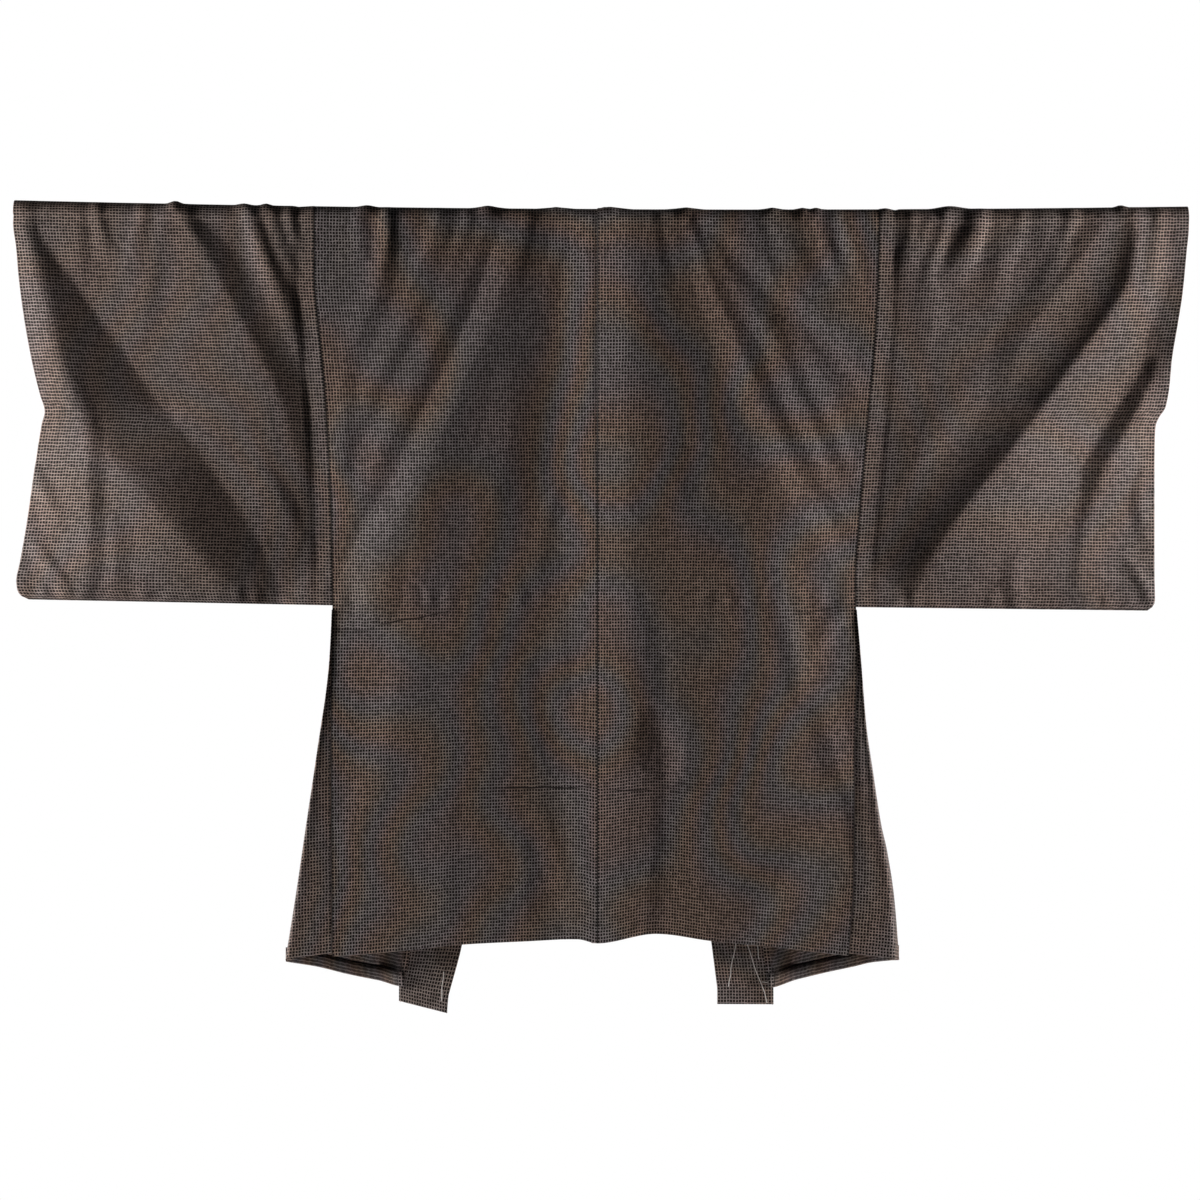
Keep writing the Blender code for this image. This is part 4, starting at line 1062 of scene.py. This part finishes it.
def silk_finish(name, drift_share, upright_light, level_light, crease_relief_and_painted_shade=False):
    """Silk in a tiny check of light lines on a near-black ground, its tint drifting a little."""
    made, tree = new_tree(name)
    uv = add(tree, "ShaderNodeUVMap", uv_map="weave").outputs["UV"]
    parts = add(tree, "ShaderNodeSeparateXYZ", Vector=uv)
    across, along = parts.outputs["X"], parts.outputs["Y"]
    scale, bend = WANDER
    wander = add(tree, "ShaderNodeTexNoise", Vector=uv, Scale=scale, Detail=2.0)
    shift = calc(tree, "MULTIPLY", calc(tree, "SUBTRACT", wander.outputs["Fac"], 0.5), bend)
    scale, bend = QUICK_SWAY
    quick = add(tree, "ShaderNodeTexNoise", Vector=uv, Scale=scale, Detail=2.0).outputs["Fac"]
    sway = calc(tree, "MULTIPLY_ADD", quick, 2 * bend, -bend)
    row = calc(tree, "FLOOR", calc(tree, "DIVIDE", along, CHECK_ALONG))
    jump = add(tree, "ShaderNodeTexWhiteNoise", noise_dimensions="1D", W=row).outputs["Value"]
    slide = calc(tree, "MULTIPLY", jump, ROW_SLIDE * CHECK_ACROSS)
    crossing = calc(tree, "ADD", calc(tree, "ADD", across, shift), slide)
    upright = check_line(tree, crossing, CHECK_ACROSS, UPRIGHT_SHARE)
    height = calc(tree, "ADD", calc(tree, "ADD", along, shift), sway)
    level = check_line(tree, height, CHECK_ALONG, LEVEL_SHARE)
    stretched = add(tree, "ShaderNodeMapping", Vector=uv, Scale=SLUB_SCALE)
    slub = add(tree, "ShaderNodeTexNoise", Vector=stretched.outputs["Vector"], Scale=1.0,
               Detail=3.0).outputs["Fac"]
    uneven = calc(tree, "MULTIPLY_ADD", slub, SLUB[0] * level_light, SLUB[1] * level_light)
    level = calc(tree, "MULTIPLY", level, uneven)
    lines = calc(tree, "MAXIMUM", level, calc(tree, "MULTIPLY", upright, upright_light))
    place = add(tree, "ShaderNodeTexCoord").outputs["Object"]
    slow = add(tree, "ShaderNodeTexNoise", Vector=place, Scale=DRIFT_SCALE, Detail=1.0)
    turn = calc(tree, "ADD", calc(tree, "MULTIPLY", slow.outputs["Fac"], DRIFT_TURN[0]),
                calc(tree, "MULTIPLY", across, DRIFT_TURN[1]))
    hue = [calc(tree, "MULTIPLY_ADD", calc(tree, "SINE", calc(tree, "ADD", turn, start)),
                share * drift_share, 1.0) for start, share in DRIFT]
    drift = add(tree, "ShaderNodeCombineColor", Red=hue[0], Green=hue[1], Blue=hue[2]).outputs[0]
    cell = add(tree, "ShaderNodeCombineXYZ",
               X=calc(tree, "FLOOR", calc(tree, "DIVIDE", across, CHECK_ACROSS)),
               Y=calc(tree, "FLOOR", calc(tree, "DIVIDE", along, CHECK_ALONG)))
    chance = add(tree, "ShaderNodeTexWhiteNoise", noise_dimensions="2D",
                 Vector=cell.outputs["Vector"]).outputs["Value"]
    lines = calc(tree, "MULTIPLY", lines, calc(tree, "MULTIPLY_ADD", chance, *CHANCE))
    thread = blend(tree, 1.0, THREAD, drift)
    thread.node.blend_type = "MULTIPLY"
    # on the body, painted shadow lines at the seams and creases darken the light threads
    if crease_relief_and_painted_shade:
        lines = calc(tree, "MULTIPLY", lines, seam_crease_painted_shade(tree, place, across))
    colour = blend(tree, calc(tree, "MINIMUM", lines, 1.0), GROUND, thread)
    bump = add(tree, "ShaderNodeBump", Height=lines, **SILK_BUMP)
    shader = add(tree, "ShaderNodeBsdfPrincipled", Base_Color=colour,
                 Normal=bump.outputs["Normal"], **SILK)
    surface(tree, shader.outputs["BSDF"])
    return made


def wood_finish():
    """Pale planed wood, its grain along the rod."""
    made, tree = new_tree("rod_wood")
    place = add(tree, "ShaderNodeTexCoord").outputs["Object"]
    long_way = add(tree, "ShaderNodeMapping", Vector=place, Scale=WOOD_STRETCH)
    grain = add(tree, "ShaderNodeTexNoise", Vector=long_way.outputs["Vector"],
                **WOOD_GRAIN).outputs["Fac"]
    colour = blend(tree, grain, WOOD_DARK, WOOD_LIGHT)
    bump = add(tree, "ShaderNodeBump", Height=grain, **WOOD_BUMP)
    shader = add(tree, "ShaderNodeBsdfPrincipled", Base_Color=colour,
                 Normal=bump.outputs["Normal"], **WOOD)
    surface(tree, shader.outputs["BSDF"])
    return made


def thread_finish(name, colour):
    made, tree = new_tree(name)
    shader = add(tree, "ShaderNodeBsdfPrincipled", Base_Color=colour, **THREAD_SHEEN)
    surface(tree, shader.outputs["BSDF"])
    return made


# ---- rod and threads, millimetres ----
ROD_SIDES = 48
ROD_ROUNDING = (2.5, 0.7, 0.0)
ROD_STRAIGHT = 600.0
ROD_STATIONS = 25
THREAD_SIDES = 6
THREAD_RADIUS = 0.45
THREAD_WAVER = (0.4, 2.9)  # reach, and radians from point to point
THREAD_STATIONS = 8  # to each point of its line
STITCH_RADIUS = 0.25
STITCH_BALL = (6, 4)  # segments and rings
STITCH = (7.0, 2.6)  # one every so far, and how long each is
STITCH_STEP = 5.0
STITCH_INSET = (2.6, 4.6)  # the stitches' line and a second one that gives the strip's slope


def tube_faces(count, around, reverse):
    """Faces of a closed tube; `reverse` is for rings that turn the other way round."""
    order = -1 if reverse else 1
    faces = [list(range(around))[::order],
             list(range((count - 1) * around, count * around))[::-order]]
    for row in range(count - 1):
        for k in range(around):
            here = row * around + k
            after = row * around + (k + 1) % around
            sides = (here + around, after + around, after)
            faces.append((here, *sides[::order]))
    return faces


def tube(name, rings, finish, reverse):
    """A closed tube through its rings of points."""
    faces = tube_faces(*rings.shape[:2], reverse)
    piece = mesh_object(name, (rings.reshape(-1, 3) * MM).tolist(), [], faces, finish)
    piece.data.shade_smooth()
    return piece


def rod(wood):
    """A round rod under the cloth, its ends a little rounded."""
    inset = np.array(ROD_ROUNDING)
    ends = ROD_LENGTH / 2 - inset[::-1]
    x = np.concatenate([-ends, np.linspace(-ROD_STRAIGHT, ROD_STRAIGHT, ROD_STATIONS), ends[::-1]])
    radius = np.concatenate([ROD_RADIUS - inset, np.full(ROD_STATIONS, ROD_RADIUS),
                             ROD_RADIUS - inset[::-1]])
    angle = np.linspace(0, 2 * math.pi, ROD_SIDES, endpoint=False)
    rings = np.stack([np.broadcast_to(x[:, None], (len(x), ROD_SIDES)),
                      radius[:, None] * np.cos(angle),
                      rod_height(x)[:, None] + radius[:, None] * np.sin(angle)], -1)
    return tube("rod_round", rings, wood, False)


def stitch_group(silk_thread):
    """Short stitches laid along a line at even steps."""
    group = bpy.data.node_groups.new("stitches", "GeometryNodeTree")
    face = group.interface
    face.new_socket("Geometry", in_out="INPUT", socket_type="NodeSocketGeometry")
    face.new_socket("Geometry", in_out="OUTPUT", socket_type="NodeSocketGeometry")
    spacing = face.new_socket("Spacing", in_out="INPUT", socket_type="NodeSocketFloat")
    length = face.new_socket("Length", in_out="INPUT", socket_type="NodeSocketFloat")
    start = group.nodes.new("NodeGroupInput")
    end = group.nodes.new("NodeGroupOutput")
    to_curve = group.nodes.new("GeometryNodeMeshToCurve")
    even = group.nodes.new("GeometryNodeCurveToPoints")
    even.mode = "LENGTH"
    ball = group.nodes.new("GeometryNodeMeshUVSphere")
    ball.inputs["Segments"].default_value, ball.inputs["Rings"].default_value = STITCH_BALL
    ball.inputs["Radius"].default_value = 1.0
    turn = group.nodes.new("FunctionNodeAlignRotationToVector")
    turn.axis = "X"
    size = group.nodes.new("ShaderNodeCombineXYZ")
    for side in ("Y", "Z"):
        size.inputs[side].default_value = STITCH_RADIUS * MM
    place = group.nodes.new("GeometryNodeInstanceOnPoints")
    real = group.nodes.new("GeometryNodeRealizeInstances")
    paint = group.nodes.new("GeometryNodeSetMaterial")
    paint.inputs["Material"].default_value = silk_thread
    link = group.links.new
    link(start.outputs["Geometry"], to_curve.inputs["Mesh"])
    link(to_curve.outputs["Curve"], even.inputs["Curve"])
    link(start.outputs["Spacing"], even.inputs["Length"])
    link(even.outputs["Tangent"], turn.inputs["Vector"])
    link(start.outputs["Length"], size.inputs["X"])
    link(even.outputs["Points"], place.inputs["Points"])
    link(ball.outputs["Mesh"], place.inputs["Instance"])
    link(turn.outputs["Rotation"], place.inputs["Rotation"])
    link(size.outputs["Vector"], place.inputs["Scale"])
    link(place.outputs["Instances"], real.inputs["Geometry"])
    link(real.outputs["Geometry"], paint.inputs["Geometry"])
    link(paint.outputs["Geometry"], end.inputs["Geometry"])
    return group, spacing.identifier, length.identifier


def baked(piece):
    """The piece with its modifiers applied, in a mesh of its own."""
    bpy.context.view_layer.update()
    graph = bpy.context.evaluated_depsgraph_get()
    mesh = bpy.data.meshes.new_from_object(piece.evaluated_get(graph))
    mesh.name = piece.name
    piece.modifiers.clear()
    piece.data = mesh
    return piece


def line_object(name, lines):
    """Edges along each line of points, in millimetres."""
    points, edges = [], []
    for line in lines:
        first = len(points)
        points += (np.array(line) * MM).tolist()
        edges += [(first + k, first + k + 1) for k in range(len(line) - 1)]
    return mesh_object(name, points, edges, [])


def stitches(name, lines, group, spacing, length):
    piece = line_object(name, lines)
    work = piece.modifiers.new("stitches", "NODES")
    work.node_group = group[0]
    work[group[1]] = spacing * MM
    work[group[2]] = length * MM / 2
    return baked(piece)


def collar_stitches(finish):
    """Small hemming stitches on the collar's face, beside the edge sewn to each front."""
    route = collar_route(STITCH_STEP)
    strip = np.array([collar_point(*station, np.array(STITCH_INSET)) for station in route])
    step = np.gradient(strip[:, 0], axis=0)
    out = np.cross(strip[:, 1] - strip[:, 0], step)
    out /= np.linalg.norm(out, axis=1)[:, None]
    out *= np.where(out[:, 1] + out[:, 2] < 0.0, -1.0, 1.0)[:, None]
    line = strip[:, 0] + out * COLLAR_CLOTH / 2
    return stitches("collar_stitches", [line], stitch_group(finish), *STITCH)


def thread(name, line, finish):
    """A loose thread, as a thin tube along the line."""
    step = np.gradient(line, axis=0)
    step /= np.linalg.norm(step, axis=1)[:, None]
    side = np.cross(step, (0.0, 1.0, 0.0))
    side /= np.linalg.norm(side, axis=1)[:, None]
    up = np.cross(side, step)
    angle = np.linspace(0, 2 * math.pi, THREAD_SIDES, endpoint=False)[None, :, None]
    around = np.cos(angle) * side[:, None] + np.sin(angle) * up[:, None]
    return tube(name, line[:, None] + THREAD_RADIUS * around, finish, True)


def tacking(finish):
    """White basting threads near the collar's ends, on its face towards the back."""
    made = []
    for name, rows in TACKING.items():
        along = np.linspace(0, len(rows) - 1, THREAD_STATIONS * len(rows))
        x = np.interp(along, range(len(rows)), [row[0] for row in rows])
        z = np.interp(along, range(len(rows)), [row[1] for row in rows])
        x = x + THREAD_WAVER[0] * np.sin(along * THREAD_WAVER[1])
        y = front_face(x, z) + collar_wave(x, z) - COLLAR_CLOTH / 2 - THREAD_RADIUS
        made.append(thread("tacking_" + name, np.stack([x, y, z], -1), finish))
    return made


# ---- studio, metres ----
CAMERA_PLACE = (0.0, -4.5, -0.4252)
VIEW_ANGLE = 17.08
CLIP_END = 50.0
FLOOR_Z = -1.35
FLOOR_HALF = 4.0
FLOOR_GREY = (0.3, 0.3, 0.3, 1.0)
WHITE = (1.0, 1.0, 1.0, 1.0)
BLACK = (0.0, 0.0, 0.0, 1.0)
AMBIENT = 0.05
WARM = (1.0, 0.93, 0.90)
SOFT = (1.0, 0.95, 0.92)
LIGHTS = [  # name, place, what it faces, size, power, colour, spread in degrees
    ("light_left", (-2.1, -0.47, -0.34), (-0.33, 0.0, -0.12), (0.3, 0.6), 15.4, WARM, 90.0),
    ("light_right", (2.1, -0.47, -0.34), (0.33, 0.0, -0.12), (0.3, 0.6), 15.0, WARM, 90.0),
    ("light_under", (0.0, -0.28, -1.32), (0.0, 0.03, -0.84), (1.1, 0.12), 1.1, WARM, 100.0),
    ("light_front", (-2.0, 1.5, 0.1), (0.1, 0.0, -0.42), (0.8, 1.0), 42.0, SOFT, 180.0),
    ("fill_front", (1.3, 2.6, -0.3), (0.0, 0.0, -0.42), (1.6, 1.2), 12.0, SOFT, 180.0),
]
CARD_NEAR = -0.0235
CARD_FAR = -1.6
CARD_TOP = 0.6
CARD_SIDE = 3.0 * MM  # to the left of the back seam


def aim(piece, target):
    direction = np.array(target) - np.array(piece.location)
    flat = math.hypot(direction[0], direction[1])
    piece.rotation_euler = (math.atan2(flat, -direction[2]), 0.0,
                            math.atan2(-direction[0], direction[1]))


def area_light(name, place, target, size, power, colour, spread):
    light = bpy.data.lights.new(name, "AREA")
    light.shape = "RECTANGLE"
    light.size, light.size_y = size
    light.energy = power
    light.color = colour
    light.spread = math.radians(spread)
    piece = bpy.data.objects.new(name, light)
    piece.location = place
    bpy.context.scene.collection.objects.link(piece)
    aim(piece, target)
    return piece


def card():
    """A black card on edge in front of the back seam keeps each side light to its own half."""
    made, tree = new_tree("card_black")
    surface(tree, add(tree, "ShaderNodeBsdfDiffuse", Color=BLACK).outputs[0])
    x = BACK_SEAM_X * MM - CARD_SIDE
    corners = [(x, CARD_NEAR, FLOOR_Z), (x, CARD_FAR, FLOOR_Z), (x, CARD_FAR, CARD_TOP),
               (x, CARD_NEAR, CARD_TOP)]
    piece = mesh_object("card", corners, [], [(0, 1, 2, 3)], made)
    piece.visible_camera = False


def studio():
    """Background and floor, white to the camera and darker to the light; lights, card, camera."""
    world = bpy.data.worlds.new("studio")
    bpy.context.scene.world = world
    world.use_nodes = True
    tree = world.node_tree
    tree.nodes.clear()
    shade = add(tree, "ShaderNodeBackground", Color=WHITE, Strength=AMBIENT)
    paper = add(tree, "ShaderNodeBackground", Color=WHITE, Strength=1.0)
    camera_sees(tree, shade, paper, "World")

    made, tree = new_tree("floor_white")
    matt = add(tree, "ShaderNodeBsdfDiffuse", Color=FLOOR_GREY)
    camera_sees(tree, matt, add(tree, "ShaderNodeEmission", Color=WHITE, Strength=1.0))
    corners = [(x * FLOOR_HALF, y * FLOOR_HALF, FLOOR_Z)
               for x, y in ((-1, -1), (1, -1), (1, 1), (-1, 1))]
    floor = mesh_object("floor", corners, [], [(0, 1, 2, 3)], made)

    for light in LIGHTS:
        area_light(*light)
    card()

    camera = bpy.data.objects.new("camera", bpy.data.cameras.new("camera"))
    camera.data.angle = math.radians(VIEW_ANGLE)
    camera.data.clip_end = CLIP_END
    camera.location = CAMERA_PLACE
    camera.rotation_euler = (math.radians(90.0), 0.0, 0.0)
    bpy.context.scene.collection.objects.link(camera)
    bpy.context.scene.camera = camera
    bpy.context.scene.view_settings.view_transform = "Standard"
    bpy.context.scene.view_settings.look = "None"


def main():
    silk = silk_finish("checked_silk", *PLAIN_SILK)
    sleeve_silk_painted_sheen = silk_finish("checked_silk_sleeve_painted_sheen", *SLEEVE_SILK_PAINTED_SHEEN)
    body_silk_painted_shade = silk_finish("checked_silk_body_painted_shade", *BODY_SILK, True)
    wood = wood_finish()
    made = {}
    for name in EDGES:
        made["body_" + name] = body(name, body_silk_painted_shade)
        made["sleeve_" + name] = sleeve(name, sleeve_silk_painted_sheen)
        made["gusset_" + name] = gusset(name, silk)
    made["collar"] = collar(silk)
    made["rod"] = rod(wood)
    for node, piece in made.items():
        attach(piece, BODY)
        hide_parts(node)
    threads = tacking(thread_finish("white_thread", WHITE_THREAD))
    threads.append(collar_stitches(thread_finish("silk_thread", SILK_THREAD)))
    for piece in threads:
        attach(piece, BODY)
    studio()


main()
